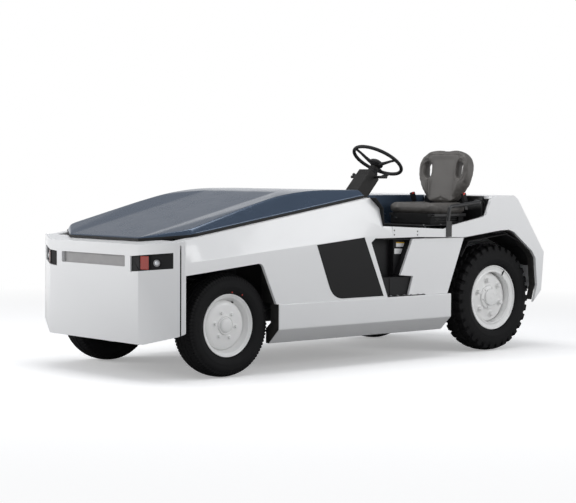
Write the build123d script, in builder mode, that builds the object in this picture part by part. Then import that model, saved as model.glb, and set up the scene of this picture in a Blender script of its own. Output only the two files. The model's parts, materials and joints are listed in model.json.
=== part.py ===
# Electric airport baggage tug: low nose box, long rising hood over the battery, open
# footwell, driver's seat on the left, deck on the right and a pin hitch behind.
# Frame: +X forward, +Y to the driver's left, +Z up. The ground is z = 0 and the
# origin lies under the middle of the vehicle. Lengths are in millimetres.
import os
from math import atan, cos, radians, sin

from build123d import *

os.makedirs("parts", exist_ok=True)

# Running gear
wheelbase = 2300
front_overhang = 502
rear_overhang = 518
front_tyre_r = 299
front_tyre_w = 174
front_rim_r = 182
front_rim_w = 142
front_rim_face = 630
rear_tyre_r = 354
rear_tyre_w = 186
rear_rim_r = 214
rear_rim_w = 150
rear_rim_face = 606
kingpin_y = 480
kingpin_r = 15
stub_r = 30
arm_length = 100
rod_pin_r = 8
running_gap = 0.08
seat_gap = 0.3

# Bodywork
half_width = 700
wall = 20
nose_half = 444
nose_sweep = 133
nose_low = 207
nose_side_low = 262
nose_top = 768
cowl_x = 62
cowl_top = 1022
crease_front = 668
crease_rear = 792
rim_y = 650
hood_opening = 580
arch_front_z = 600
arch_top_z = 654
ridge_z = 410
rocker_y = 705
rocker_fold = 261
rocker_low = 174
rocker_low_y = 617
beam_low = 776
beam_top = 846
beam_front_x = -95
beam_rear_x = -330
tail_knee = 116
tail_top = 1030
floor_z = 400
floor_t = 12
deck_edge = 112
inner_side = 640
seat_y = 380

# Hood
lip_back = 75
lip_half = 342
hood_half = 612
hood_corner_back = 232
hood_wall = 14
seal_h = 18
hood_lean = 31
hood_crest_z = 1072
hood_front_rise = 10
hood_slope = 0.294
hood_arc_r = 2290
hood_gap = 8
hinge_pin_r = 8
hinge_y = 400
hinge_t = 14

# Chassis
rail_y = 190
rail_w = 60
rail_h = 100
rail_front_z = 425
rail_mid_z = 262
rail_rear_z = 468
axle_half_h = 45
rear_tube_r = 62

# Steering wheel, seat and hitch
wheel_rake = 32
wheel_r = 163
wheel_tube = 11
wheel_z = 1256
wheel_x = -275
cushion_low = 918
cushion_top = 985
back_top = 1345
hitch_half = 90
hitch_plate_t = 20
hitch_gap = 68
pin_r = 16
pin_clearance = 0.5

# Worked out from the values above
length = wheelbase + front_overhang + rear_overhang
nose_x = length / 2
tail_x = -length / 2
front_x = nose_x - front_overhang
rear_x = front_x - wheelbase
corner_x = nose_x - nose_sweep
seam_x = corner_x - 7
lip_x = nose_x - lip_back
front_tyre_y = front_rim_face - front_rim_w / 2 - 8
rear_tyre_y = rear_rim_face - rear_rim_w / 2 - 8
side_y = half_width - wall
shoulder_slope = (cowl_top - nose_top) / (nose_x - cowl_x)
shoulder_angle = atan(shoulder_slope)


def shoulder_z(x):
    """Height of the one sloping plane that the nose ledge and the side rims share."""
    return nose_top + (nose_x - x) * shoulder_slope


def crease_z(x):
    """Height of the side panels' shoulder crease."""
    return crease_front + (corner_x - x) * (crease_rear - crease_front) / (corner_x - cowl_x)


def beam_z(x):
    """Top of the side rail that runs over the footwell, falling towards the rear."""
    return beam_top - (beam_front_x - x) * 0.05


def both_sides(name, part):
    """Write a left piece and its mirror image on the right."""
    for side, piece in (("left", part), ("right", mirror(part, about=Plane.XZ))):
        piece.label = f"{name}_{side}"
        export_step(piece, f"parts/{piece.label}.step")


# Nose: bent plate with swept corners and a sloping ledge around the hood's lip
nose_plan = [(seam_x, half_width), (corner_x, half_width), (nose_x, nose_half)]
nose_plan += [(x, -y) for x, y in reversed(nose_plan)]
lamp_in_y = 370
lamp_corner_reach = 217
lamp_low = 614
lamp_h = 88
lamp_rise = 19
slot_half = 318
slot_low = 640
slot_h = 63
corner_plane = Plane(
    origin=(nose_x, nose_half, 0), x_dir=(corner_x - nose_x, half_width - nose_half, 0),
    z_dir=(half_width - nose_half, nose_x - corner_x, 0))


def lamp_form(margin, out, back):
    """Lamp opening wrapped round the left corner, from out in front to back behind."""
    low, high = lamp_low + margin, lamp_low + lamp_h - margin
    with BuildPart() as form:
        with BuildSketch(Plane.YZ.offset(nose_x + out)):
            Polygon(
                (lamp_in_y + margin, low), (nose_half + 1, low + 6), (nose_half + 1, high + 6),
                (lamp_in_y + margin, high), align=None)
        extrude(amount=-(out + back))
        with BuildSketch(corner_plane.offset(out)):
            reach = lamp_corner_reach - margin
            Polygon(
                (-0.5, low + 6), (reach, low + 6 + lamp_rise), (reach, high + 6 + lamp_rise),
                (-0.5, high + 6), align=None)
        extrude(amount=-(out + back))
    return form.part


lamp_cut = lamp_form(0, 6, wall + 6)
with BuildPart() as nose_panel:
    with BuildSketch(Plane.XY.offset(nose_low)):
        Polygon(*nose_plan, align=None)
    extrude(amount=nose_top + 60 - nose_low)
    with BuildSketch(Plane.XY.offset(nose_low)):
        Polygon(*nose_plan, align=None)
        offset(amount=-wall, kind=Kind.INTERSECTION)
        with Locations((seam_x + wall / 2, 0)):
            Rectangle(wall + 2, 2 * side_y)
    extrude(amount=nose_top + 60 - nose_low, mode=Mode.SUBTRACT)
    with BuildSketch(Plane.XZ.offset(-side_y)):
        Polygon(
            (nose_x - wall, shoulder_z(nose_x - wall)), (seam_x, shoulder_z(seam_x)),
            (seam_x, shoulder_z(seam_x) - wall), (nose_x - wall, shoulder_z(nose_x - wall) - wall),
            align=None)
    extrude(amount=2 * side_y)
    with BuildSketch(Plane.XY.offset(nose_low)):
        Polygon(*nose_plan, align=None)
    extrude(amount=nose_top + 60 - nose_low, mode=Mode.INTERSECT)
    with BuildSketch(Plane.XY.offset(nose_top - 2 * wall)):
        Polygon(
            (seam_x - 1, hood_opening), (lip_x - 100, hood_opening), (lip_x - 25, lip_half),
            (lip_x - 25, -lip_half), (lip_x - 100, -hood_opening), (seam_x - 1, -hood_opening),
            align=None)
    extrude(amount=5 * wall, mode=Mode.SUBTRACT)
    with BuildSketch(Plane.XZ.offset(-half_width - 1)):
        Polygon(
            (nose_x + 1, nose_top), (nose_x + 1, nose_top + 99), (seam_x - 1, nose_top + 99),
            (seam_x - 1, shoulder_z(seam_x - 1)), align=None)
        Polygon(
            (corner_x + nose_sweep - 12, nose_low - 1), (corner_x + 20, nose_side_low - 4),
            (seam_x - 1, nose_side_low + 20), (seam_x - 1, nose_low - 1), align=None)
    extrude(amount=2 * half_width + 2, mode=Mode.SUBTRACT)
    with BuildSketch(Plane.YZ.offset(nose_x - 2 * wall)):
        with Locations((0, slot_low + slot_h / 2)):
            RectangleRounded(2 * slot_half, slot_h, 8)
    extrude(amount=3 * wall, mode=Mode.SUBTRACT)
    add(lamp_cut, mode=Mode.SUBTRACT)
    add(mirror(lamp_cut, about=Plane.XZ), mode=Mode.SUBTRACT)
nose_panel.part.label = "nose_panel"
export_step(nose_panel.part, "parts/nose_panel.step")

# Grey panel behind the slot, seated on the inside of the nose plate
with BuildPart() as grille_panel:
    with BuildSketch(Plane.YZ.offset(nose_x - wall - seat_gap)):
        with Locations((0, slot_low + slot_h / 2)):
            Rectangle(2 * slot_half + 2 * wall, slot_h + 2 * wall)
    extrude(amount=-wall / 2)
grille_panel.part.label = "grille_panel"
export_step(grille_panel.part, "parts/grille_panel.step")

# Black lamp housings that fill the corner openings, set back from the plate's face
lamp_recess = 9
with BuildPart() as lamp_housings:
    add(lamp_form(1, -lamp_recess, wall + 20))
    mirror(about=Plane.XZ)
lamp_housings.part.label = "lamp_housings"
export_step(lamp_housings.part, "parts/lamp_housings.step")

# Turn lenses beside the corners, and small clear marker lamps further round
lens_h = 76
with BuildPart() as turn_lenses:
    with BuildSketch(corner_plane.offset(-lamp_recess + seat_gap)):
        with Locations((38, lamp_low + lamp_h / 2 + 9)):
            Rectangle(54, lens_h)
    extrude(amount=lamp_recess - 3)
    mirror(about=Plane.XZ)
turn_lenses.part.label = "turn_lenses"
export_step(turn_lenses.part, "parts/turn_lenses.step")
with BuildPart() as marker_lamps:
    with BuildSketch(corner_plane.offset(-lamp_recess + seat_gap)):
        with Locations((112, lamp_low + lamp_h / 2 + 9)):
            Circle(13)
    extrude(amount=lamp_recess - 3)
    mirror(about=Plane.XZ)
marker_lamps.part.label = "marker_lamps"
export_step(marker_lamps.part, "parts/marker_lamps.step")


# Side panels: upright wall, band leaning in above a shoulder crease, flat rim flange
def side_section(x):
    """Outline of the panel's section at x, in the plane across the vehicle."""
    return [
        (half_width, ridge_z), (half_width, crease_z(x)), (rim_y, shoulder_z(x)),
        (hood_opening, shoulder_z(x)), (hood_opening, shoulder_z(x) - wall),
        (rim_y - wall / 2, shoulder_z(x) - wall), (side_y, crease_z(x) - 4), (side_y, ridge_z)]


arch_rear_x = front_x - 306
footwell_front = [(-57, ridge_z), (87, 751), (53, beam_low)]
with BuildPart() as side_panel:
    for x in (seam_x, beam_front_x):
        with BuildSketch(Plane.YZ.offset(x)):
            Polygon(*side_section(x), align=None)
    loft(ruled=True)
    with BuildSketch(Plane.XZ.offset(-half_width - 1)) as side_outline:
        Polygon(
            (seam_x, arch_front_z), (front_x - 193, arch_top_z), (arch_rear_x, ridge_z),
            *footwell_front, (beam_front_x, beam_low), (beam_front_x, beam_top),
            (-20, beam_top + 3), (-10, cowl_top - 60), (cowl_x - 7, cowl_top + 1),
            (cowl_x, cowl_top + 40), (seam_x, cowl_top + 40), align=None)
        fillet(side_outline.vertices().sort_by_distance((front_x - 193, arch_top_z))[0], 38)
    extrude(amount=half_width, mode=Mode.INTERSECT)
both_sides("side_panel", side_panel.part)

# Rockers: sills with an undercut lower face, and a top flange under the side panels
rocker_front_x = front_x - 319
rocker_rear_x = front_x - 1786
lip_w = 25
with BuildPart() as rockers:
    with BuildSketch(Plane.YZ.offset(rocker_rear_x)):
        Polygon(
            (rocker_y, ridge_z), (rocker_y, rocker_fold), (rocker_low_y, rocker_low),
            (rocker_low_y - lip_w, rocker_low), (rocker_low_y - lip_w, rocker_low + wall),
            (rocker_low_y - 8, rocker_low + wall), (rocker_y - wall, rocker_fold + 8),
            (rocker_y - wall, ridge_z - wall), (inner_side, ridge_z - wall), (inner_side, ridge_z),
            align=None)
    extrude(amount=rocker_front_x - rocker_rear_x)
    mirror(about=Plane.XZ)
rockers.part.label = "rockers"
export_step(rockers.part, "parts/rockers.step")

# Removable covers in the side rails over the footwell
with BuildPart() as beam_covers:
    with BuildSketch(Plane.XZ.offset(-half_width)):
        Polygon(
            (beam_front_x - 1, beam_low), (beam_front_x - 1, beam_z(beam_front_x)),
            (beam_rear_x + 1, beam_z(beam_rear_x)), (beam_rear_x + 1, beam_low), align=None)
    extrude(amount=wall)
    with BuildSketch(Plane.XZ.offset(-side_y)):
        Polygon(
            (beam_front_x + 30, beam_low + 2), (beam_front_x + 30, beam_low + 20),
            (beam_rear_x - 30, beam_low + 20), (beam_rear_x - 30, beam_low + 2), align=None)
    extrude(amount=wall / 2)
    mirror(about=Plane.XZ)
beam_covers.part.label = "beam_covers"
export_step(beam_covers.part, "parts/beam_covers.step")

# Rear fenders: side plates over the rear wheels, rising to the tail
tail_front_x = rear_x + 135
knee_x = tail_x + tail_knee
tail_profile = [
    (tail_front_x - 222, tail_top + 3), (knee_x + 273, tail_top - 21), (knee_x, 649),
    (knee_x + 24, 392), (knee_x + 106, 316)]
with BuildPart() as rear_fender:
    with BuildSketch(Plane.XZ.offset(-half_width)) as fender_outline:
        Polygon(
            (beam_rear_x, beam_low), (beam_rear_x, beam_z(beam_rear_x)), (-567, beam_z(-567)),
            (-651, 846), (-900, 889), (-955, 903), (tail_front_x, tail_top - 16),
            (tail_front_x - 44, tail_top - 3), *tail_profile,
            (rear_x - 306, 328), (rear_x - 336, 428), (rear_x - 316, 611), (rear_x - 279, 659),
            (rear_x - 95, 790), (rear_x - 42, 806), (rear_x + 47, 803), (rear_x + 386, beam_low - 10),
            align=None)
        fillet(fender_outline.vertices().sort_by_distance((knee_x, 649))[0], 20)
    extrude(amount=wall)
both_sides("rear_fender", rear_fender.part)

# Quarter panels between the footwell and the rear wheels, set in a little
with BuildPart() as quarter_panels:
    with BuildSketch(Plane.XZ.offset(-half_width + 8)):
        Polygon(
            (-281, beam_low - 10), (-177, 540), (-288, 531), (-249, ridge_z),
            (rear_x + 536, ridge_z), (rear_x + 386, beam_low - 12), align=None)
    extrude(amount=wall)
    mirror(about=Plane.XZ)
quarter_panels.part.label = "quarter_panels"
export_step(quarter_panels.part, "parts/quarter_panels.step")

# Tail: bent panel from the top of the deck down to the hitch, between the fenders
hitch_notch_half = 165
hitch_notch_top = 575
tail_hem_half = 430
tail_inner = [
    (knee_x + 262, tail_top - 38), (knee_x + wall, 644), (knee_x + 44, 400), (knee_x + 113, 332)]
with BuildPart() as tail_panel:
    with BuildSketch(Plane.XZ.offset(-side_y)):
        Polygon(
            (tail_front_x, tail_top), *tail_profile, *reversed(tail_inner),
            (tail_front_x - 222, tail_top - wall), (tail_front_x, tail_top - wall), align=None)
    extrude(amount=2 * side_y)
    with BuildSketch(Plane.YZ.offset(tail_x)):
        with Locations((0, hitch_notch_top / 2)):
            Rectangle(2 * hitch_notch_half, hitch_notch_top)
        with Locations((side_y, 196), (-side_y, 196)):
            Rectangle(2 * side_y - 2 * tail_hem_half, 400)
    extrude(amount=tail_knee + 150, mode=Mode.SUBTRACT)
tail_panel.part.label = "tail_panel"
export_step(tail_panel.part, "parts/tail_panel.step")

# Tail lamps, low on the tail's rear face
with BuildPart() as tail_lamps:
    with BuildSketch(Plane.YZ.offset(knee_x - 26)):
        with Locations((half_width - 150, 560)):
            RectangleRounded(90, 150, 12)
    extrude(amount=60)
    with BuildSketch(Plane.XZ.offset(-half_width)):
        Polygon(
            (knee_x - seat_gap, 649), (knee_x + 24 - seat_gap, 392), (knee_x + 60, 392),
            (knee_x + 60, 700), (knee_x - seat_gap, 700), align=None)
    extrude(amount=half_width, mode=Mode.SUBTRACT)
    mirror(about=Plane.XZ)
tail_lamps.part.label = "tail_lamps"
export_step(tail_lamps.part, "parts/tail_lamps.step")

# Chassis: two rails kicked up over both axles, cross-members and a rear draw plate
chassis_front = nose_x - wall - 12
chassis_rear = tail_x + 178
kick_front = front_x - 375
kick_rear = rear_x + 330
kick_run = 90
draw_low = 280
floor_front_x = cowl_x - 42
with BuildPart() as chassis:
    with BuildSketch(Plane.XZ.offset(-rail_y - rail_w)):
        Polygon(
            (chassis_front, rail_front_z), (chassis_front, rail_front_z + rail_h),
            (kick_front, rail_front_z + rail_h), (kick_front - kick_run, rail_mid_z + rail_h),
            (kick_rear + kick_run, rail_mid_z + rail_h), (kick_rear, rail_rear_z + rail_h),
            (chassis_rear, rail_rear_z + rail_h), (chassis_rear, rail_rear_z),
            (kick_rear, rail_rear_z), (kick_rear + kick_run, rail_mid_z),
            (kick_front - kick_run, rail_mid_z), (kick_front, rail_front_z), align=None)
    extrude(amount=rail_w)
    mirror(about=Plane.XZ)
    for x, z in ((chassis_front - 60, rail_front_z), (kick_front + 60, rail_front_z),
                 (chassis_rear + 30, rail_rear_z)):
        with Locations((x, 0, z + rail_h / 2)):
            Box(60, 2 * rail_y, rail_h)
    for x in (floor_front_x, rocker_rear_x + 80):
        with Locations((x, 0, (rail_mid_z + floor_z) / 2)):
            Box(60, 2 * inner_side, floor_z - rail_mid_z)
    with Locations((chassis_rear - 10, 0, (draw_low + rail_rear_z + rail_h) / 2)):
        Box(20, 2 * (hitch_notch_half - 5), rail_rear_z + rail_h - draw_low)
chassis.part.label = "chassis"
export_step(chassis.part, "parts/chassis.step")

# Floor of the footwell
floor_rear = rocker_rear_x + 60
with BuildPart() as floor_pan:
    with BuildSketch(Plane.XY.offset(floor_z)):
        with Locations(((cowl_x + floor_rear) / 2, 0)):
            Rectangle(cowl_x - floor_rear, 2 * inner_side)
    extrude(amount=floor_t)
floor_pan.part.label = "floor_pan"
export_step(floor_pan.part, "parts/floor_pan.step")

# Dash: hollow black bulkhead in front of the footwell, with hinge brackets on top
dash_front = cowl_x - 22
dash_top = cowl_top - 17
dash_half = rim_y - 14
hinge_x = cowl_x - 14
hinge_z = cowl_top + 8
dash_t = 12
dash_lip = (16, dash_top)
dash_knee = (-60, dash_top - 69)
toe_x = 15
footwell_floor = floor_z + floor_t
with BuildPart() as dash:
    with BuildSketch(Plane.XZ.offset(-dash_half)):
        Polygon(
            (dash_front, footwell_floor), (dash_front, dash_top), dash_lip, dash_knee,
            (dash_knee[0], beam_top + 4), (toe_x, 760), (toe_x, footwell_floor), align=None)
        offset(amount=-dash_t, kind=Kind.INTERSECTION, mode=Mode.SUBTRACT)
    extrude(amount=2 * dash_half)
    for side in (1, -1):
        for step in (-1, 1):
            y = side * hinge_y + step * (hinge_t / 2 + 9)
            with BuildSketch(Plane.XZ.offset(-y - 4)):
                Polygon(
                    (hinge_x - 30, dash_top), (hinge_x - 12, hinge_z + 14),
                    (hinge_x - 2, hinge_z + 14), (hinge_x - 2, dash_top), align=None)
                with Locations((hinge_x, hinge_z)):
                    Circle(14)
            extrude(amount=8)
        with BuildSketch(Plane.XZ.offset(-side * hinge_y - hinge_t)):
            with Locations((hinge_x, hinge_z)):
                Circle(hinge_pin_r)
        extrude(amount=2 * hinge_t)
dash.part.label = "dash"
export_step(dash.part, "parts/dash.step")

# Traction battery: the one heavy block under the hood, on the mid rails
battery_l = 610
battery_h = 520
battery_half = 512
battery_front = kick_front - kick_run - 12
battery_low = rail_mid_z + rail_h
with BuildPart() as battery:
    with BuildSketch(Plane.XY.offset(battery_low)):
        with Locations((battery_front - battery_l / 2, 0)):
            Rectangle(battery_l, 2 * battery_half)
    extrude(amount=battery_h)
battery.part.label = "battery"
export_step(battery.part, "parts/battery.step")

# Seat base: black box under the seat, with a bulkhead behind the backrest
base_front = -440
base_rear = -985
base_top = 846
skirt_z = 800
sheet = 6
with BuildPart() as seat_base:
    with BuildSketch(Plane.XZ.offset(-inner_side + 4)):
        Polygon(
            (base_front, footwell_floor), (base_front, base_top), (base_rear, base_top),
            (base_rear, tail_top - 2), (base_rear - wall, tail_top - 2), (base_rear - wall, skirt_z),
            (base_rear - wall + sheet, skirt_z), (base_rear - wall + sheet, base_top - sheet),
            (base_front - sheet, base_top - sheet), (base_front - sheet, footwell_floor), align=None)
    extrude(amount=inner_side - 4 - deck_edge - sheet - seat_gap)
seat_base.part.label = "seat_base"
export_step(seat_base.part, "parts/seat_base.step")

# Deck on the right of the seat: hollow cover with a vertical near side
deck_front = -422
with BuildPart() as side_deck:
    with BuildSketch(Plane.XZ.offset(-deck_edge)):
        Polygon(
            (deck_front, footwell_floor), (deck_front, tail_top), (base_rear, tail_top),
            (base_rear, skirt_z), (deck_front - wall, skirt_z), (deck_front - wall, footwell_floor),
            align=None)
    extrude(amount=deck_edge + inner_side - 4)
    fillet(side_deck.edges().filter_by(Axis.Y).sort_by_distance((deck_front, 0, tail_top))[0], 24)
    with BuildSketch(Plane.XZ.offset(sheet - deck_edge)):
        Polygon(
            (deck_front - wall, footwell_floor - 1), (deck_front - wall, tail_top - wall),
            (base_rear - 1, tail_top - wall), (base_rear - 1, footwell_floor - 1), align=None)
    extrude(amount=deck_edge + inner_side - 4 - 2 * sheet, mode=Mode.SUBTRACT)
side_deck.part.label = "side_deck"
export_step(side_deck.part, "parts/side_deck.step")

# Seat suspension box, cushion and backrest
cushion_rear = base_rear + 60
cushion_front = -547
cushion_half = 225
with BuildPart() as seat_suspension:
    with BuildSketch(Plane.XY.offset(base_top)):
        with Locations(((cushion_front + cushion_rear) / 2, seat_y)):
            Rectangle(cushion_front - cushion_rear - 60, 2 * cushion_half - 90)
    extrude(amount=cushion_low - base_top - seat_gap)
    with BuildSketch(Plane.XZ.offset(-seat_y - cushion_half)):
        Polygon(
            (cushion_front - 80, base_top + 16), (cushion_front - 80, cushion_low - 16),
            (cushion_rear + 80, cushion_low - 16), (cushion_rear + 80, base_top + 16), align=None)
    extrude(amount=2 * cushion_half, mode=Mode.SUBTRACT)
    with Locations(((cushion_front + cushion_rear) / 2, seat_y, (base_top + cushion_low) / 2)):
        Box(140, 2 * cushion_half - 150, cushion_low - base_top - 8)
seat_suspension.part.label = "seat_suspension"
export_step(seat_suspension.part, "parts/seat_suspension.step")

with BuildPart() as seat_cushion:
    with BuildSketch(Plane.XY.offset(cushion_low)):
        with Locations(((cushion_front + cushion_rear) / 2, seat_y)):
            RectangleRounded(cushion_front - cushion_rear, 2 * cushion_half, 60)
    extrude(amount=cushion_top - cushion_low)
    fillet(seat_cushion.faces().sort_by(Axis.Z)[-1].edges(), 22)
    fillet(seat_cushion.faces().sort_by(Axis.Z)[0].edges(), 12)
seat_cushion.part.label = "seat_cushion"
export_step(seat_cushion.part, "parts/seat_cushion.step")

back_tilt = 8
back_half = 236
back_t = 84
back_low_x = cushion_rear + 84
back_plane = Plane(
    origin=(back_low_x, seat_y, cushion_top + seat_gap), x_dir=(0, 1, 0),
    z_dir=(cos(radians(back_tilt)), 0, sin(radians(back_tilt))))
back_h = back_top - cushion_top
with BuildPart() as seat_back:
    with BuildSketch(back_plane):
        Polygon(
            (-110, -8), (-165, 60), (-225, 130), (-back_half, 210), (-back_half + 4, 270),
            (-185, 335), (-120, back_h), (120, back_h), (185, 335), (back_half - 4, 270),
            (back_half, 210), (225, 130), (165, 60), (110, -8), align=None)
        with Locations((-150, 222), (150, 222)):
            SlotOverall(112, 56, rotation=90, mode=Mode.SUBTRACT)
    extrude(amount=-back_t)
    fillet(seat_back.faces().sort_by(Axis.X)[-1].edges(), 12)
    with BuildSketch(Plane.XY.offset(cushion_top + seat_gap)):
        with Locations((back_low_x, seat_y)):
            Rectangle(4 * back_t, 2 * back_half)
    extrude(amount=-back_t, mode=Mode.SUBTRACT)
seat_back.part.label = "seat_back"
export_step(seat_back.part, "parts/seat_back.step")

# Hip guard: bent tube on the left, bolted to the side rail and the fender
guard_r = 12
guard_y = half_width - guard_r + 4
guard_plate_t = 4.4
guard_foot = (-598, guard_y, beam_top + 4)
with BuildPart() as hip_guard:
    with BuildLine() as guard_path:
        FilletPolyline(
            guard_foot, (-616, guard_y, 964), (-905, guard_y, 990), (-940, inner_side - 24, 994),
            (base_rear + seat_gap, inner_side - 24, 994), radius=24)
    with BuildSketch(Plane(origin=guard_path.line @ 0, z_dir=guard_path.line % 0)):
        Circle(guard_r)
    sweep()
    with BuildSketch(Plane.XZ.offset(-half_width - seat_gap - guard_plate_t)):
        Polygon((-575, 772), (-575, 872), (-625, 872), (-625, 772), align=None)
    extrude(amount=guard_plate_t)
hip_guard.part.label = "hip_guard"
export_step(hip_guard.part, "parts/hip_guard.step")

# Steering column cover, leaning back from the dash, with the shaft's end and two levers
wheel_plane = Plane(
    origin=(wheel_x, seat_y, wheel_z), x_dir=(cos(radians(wheel_rake)), 0, sin(radians(wheel_rake))),
    z_dir=(-sin(radians(wheel_rake)), 0, cos(radians(wheel_rake))))
cover_half = 62
hub_drop = 44
shaft_r = 11
column_plane = Plane(
    origin=((dash_lip[0] + dash_knee[0]) / 2, seat_y, (dash_lip[1] + dash_knee[1]) / 2),
    x_dir=(0, 1, 0), z_dir=(dash_knee[1] - dash_lip[1], 0, dash_lip[0] - dash_knee[0]))
with BuildPart() as column_cover:
    with BuildSketch(column_plane.offset(seat_gap)):
        Rectangle(2 * cover_half, 98)
    with BuildSketch(column_plane.offset(262)):
        Rectangle(2 * cover_half - 10, 104)
    loft()
    fillet(column_cover.edges().filter_by(lambda e: e.length > 200), 14)
    with BuildSketch(wheel_plane.offset(-hub_drop - 90)):
        Circle(30)
    extrude(amount=80)
    with BuildSketch(wheel_plane.offset(-hub_drop - 12)):
        Circle(shaft_r)
    extrude(amount=30)
    for side in (1, -1):
        with BuildSketch(Plane.XZ.offset(-seat_y - side * (cover_half - 14))):
            with Locations((-198, 1150)):
                Circle(9)
        extrude(amount=-side * 110)
column_cover.part.label = "column_cover"
export_step(column_cover.part, "parts/column_cover.step")

# Steering wheel: rim, three dished spokes and a hub on the shaft
with BuildPart() as steering_wheel:
    with BuildSketch(Plane(origin=(0, 0, 0), x_dir=(1, 0, 0), z_dir=(0, -1, 0))):
        with Locations((wheel_r, 0)):
            Circle(wheel_tube)
    revolve(axis=Axis.Z)
    with BuildSketch(Plane.XY.offset(-hub_drop)):
        Circle(36)
    extrude(amount=34)
    for angle in (90, 210, 330):
        spoke = Plane.XY.rotated((0, 0, angle))
        with BuildSketch(Plane(origin=(0, 0, 0), x_dir=spoke.x_dir, z_dir=-spoke.y_dir)):
            Polygon(
                (26, -hub_drop + 6), (26, -hub_drop + 24), (wheel_r - 4, 6), (wheel_r - 4, -6),
                align=None)
        extrude(amount=13, both=True)
    with BuildSketch(Plane.XY.offset(-hub_drop)):
        Circle(shaft_r + running_gap)
    extrude(amount=20, mode=Mode.SUBTRACT)
steering_wheel = wheel_plane * steering_wheel.part
steering_wheel.label = "steering_wheel"
export_step(steering_wheel, "parts/steering_wheel.step")

# Accelerator and brake pedals, hung from the dash over the footwell floor
with BuildPart() as pedals:
    for y, pad in ((seat_y - 150, 60), (seat_y - 20, 80)):
        with BuildSketch(Plane.XZ.offset(-y - 7)):
            Polygon(
                (toe_x - seat_gap, 700), (toe_x - seat_gap, 670), (-50, 530), (-118, 482), (-128, 512),
                (-74, 556), (-12, 700), align=None)
        extrude(amount=14)
        with BuildSketch(Plane.XZ.offset(-y - pad / 2)):
            Polygon((-96, 552), (-154, 452), (-166, 459), (-108, 559), align=None)
        extrude(amount=pad)
pedals.part.label = "pedals"
export_step(pedals.part, "parts/pedals.step")

# Front axle: beam with an eye and a kingpin at each end
ear_t = 20
ear_gap = 1
eye_r = 30
fork_half = axle_half_h + ear_gap + ear_t
with BuildPart() as front_axle:
    with Locations((front_x, 0, front_tyre_r)):
        Box(70, 2 * kingpin_y, 2 * axle_half_h)
    for side in (1, -1):
        for radius, half_h in ((eye_r, axle_half_h), (kingpin_r, fork_half)):
            with BuildSketch(Plane.XY.offset(front_tyre_r - half_h)):
                with Locations((front_x, side * kingpin_y)):
                    Circle(radius)
            extrude(amount=2 * half_h)
front_axle.part.label = "front_axle"
export_step(front_axle.part, "parts/front_axle.step")

# Steering knuckles: fork round the axle's eye, stub axle outwards, steering arm to the rear
stub_end = front_rim_face - 32
fork_y = kingpin_y + 32
fork_t = 12
arm_z = front_tyre_r - fork_half
arm_t = 14
arm_x = front_x - arm_length
with BuildPart() as knuckle:
    for z in (arm_z, front_tyre_r + axle_half_h + ear_gap):
        with BuildSketch(Plane.XY.offset(z)):
            with Locations((front_x, kingpin_y)):
                Circle(eye_r)
            with Locations((front_x, (kingpin_y + fork_y + fork_t) / 2)):
                Rectangle(2 * eye_r, fork_y + fork_t - kingpin_y)
        extrude(amount=ear_t)
    with Locations((front_x, fork_y + fork_t / 2, front_tyre_r)):
        Box(2 * eye_r, fork_t, 2 * fork_half)
    for radius, reach in ((stub_r + 14, fork_t), (stub_r, stub_end - fork_y)):
        with BuildSketch(Plane.XZ.offset(-fork_y)):
            with Locations((front_x, front_tyre_r)):
                Circle(radius)
        extrude(amount=-reach)
    with BuildSketch(Plane.XY.offset(arm_z)):
        Polygon(
            (front_x - 10, kingpin_y + 24), (arm_x, kingpin_y + 14), (arm_x, kingpin_y - 14),
            (front_x - 10, kingpin_y - 24), align=None)
        with Locations((arm_x, kingpin_y)):
            Circle(2 * rod_pin_r)
    extrude(amount=arm_t)
    with BuildSketch(Plane.XY.offset(arm_z)):
        with Locations((front_x, kingpin_y)):
            Circle(kingpin_r + running_gap)
        with Locations((arm_x, kingpin_y)):
            Circle(rod_pin_r + running_gap)
    extrude(amount=2 * fork_half, mode=Mode.SUBTRACT)
both_sides("knuckle", knuckle.part)

# Tie rod under the two steering arms, with an upright pin at each end
rod_drop = 22
rod_half = kingpin_y + 14
with BuildPart() as tie_rod:
    with BuildSketch(Plane.XZ.offset(-rod_half)):
        with Locations((arm_x, arm_z - rod_drop)):
            Circle(12)
    extrude(amount=2 * rod_half)
    for side in (1, -1):
        with BuildSketch(Plane.XY.offset(arm_z - rod_drop)):
            with Locations((arm_x, side * kingpin_y)):
                Circle(rod_pin_r)
        extrude(amount=rod_drop + arm_t)
tie_rod.part.label = "tie_rod"
export_step(tie_rod.part, "parts/tie_rod.step")

# Leaf springs between the axles and the rails
spring_half = 28
spring_y = rail_y + rail_w / 2
spring_pack = 30
front_seat_z = front_tyre_r + axle_half_h
rear_seat_z = rear_tyre_r + rear_tube_r + 12
with BuildPart() as leaf_springs:
    for x, z, end_z, reach in (
            (front_x, front_seat_z, rail_front_z, 360), (rear_x, rear_seat_z, rail_rear_z, 320)):
        with BuildSketch(Plane.XZ.offset(-spring_y - spring_half)):
            with BuildLine():
                ThreePointArc((x - reach, end_z - 12), (x, z), (x + reach, end_z - 12))
                Line((x + reach, end_z - 12), (x + reach, end_z))
                ThreePointArc((x + reach, end_z), (x, z + spring_pack), (x - reach, end_z))
                Line((x - reach, end_z), (x - reach, end_z - 12))
            make_face()
        extrude(amount=2 * spring_half)
    mirror(about=Plane.XZ)
leaf_springs.part.label = "leaf_springs"
export_step(leaf_springs.part, "parts/leaf_springs.step")

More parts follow.
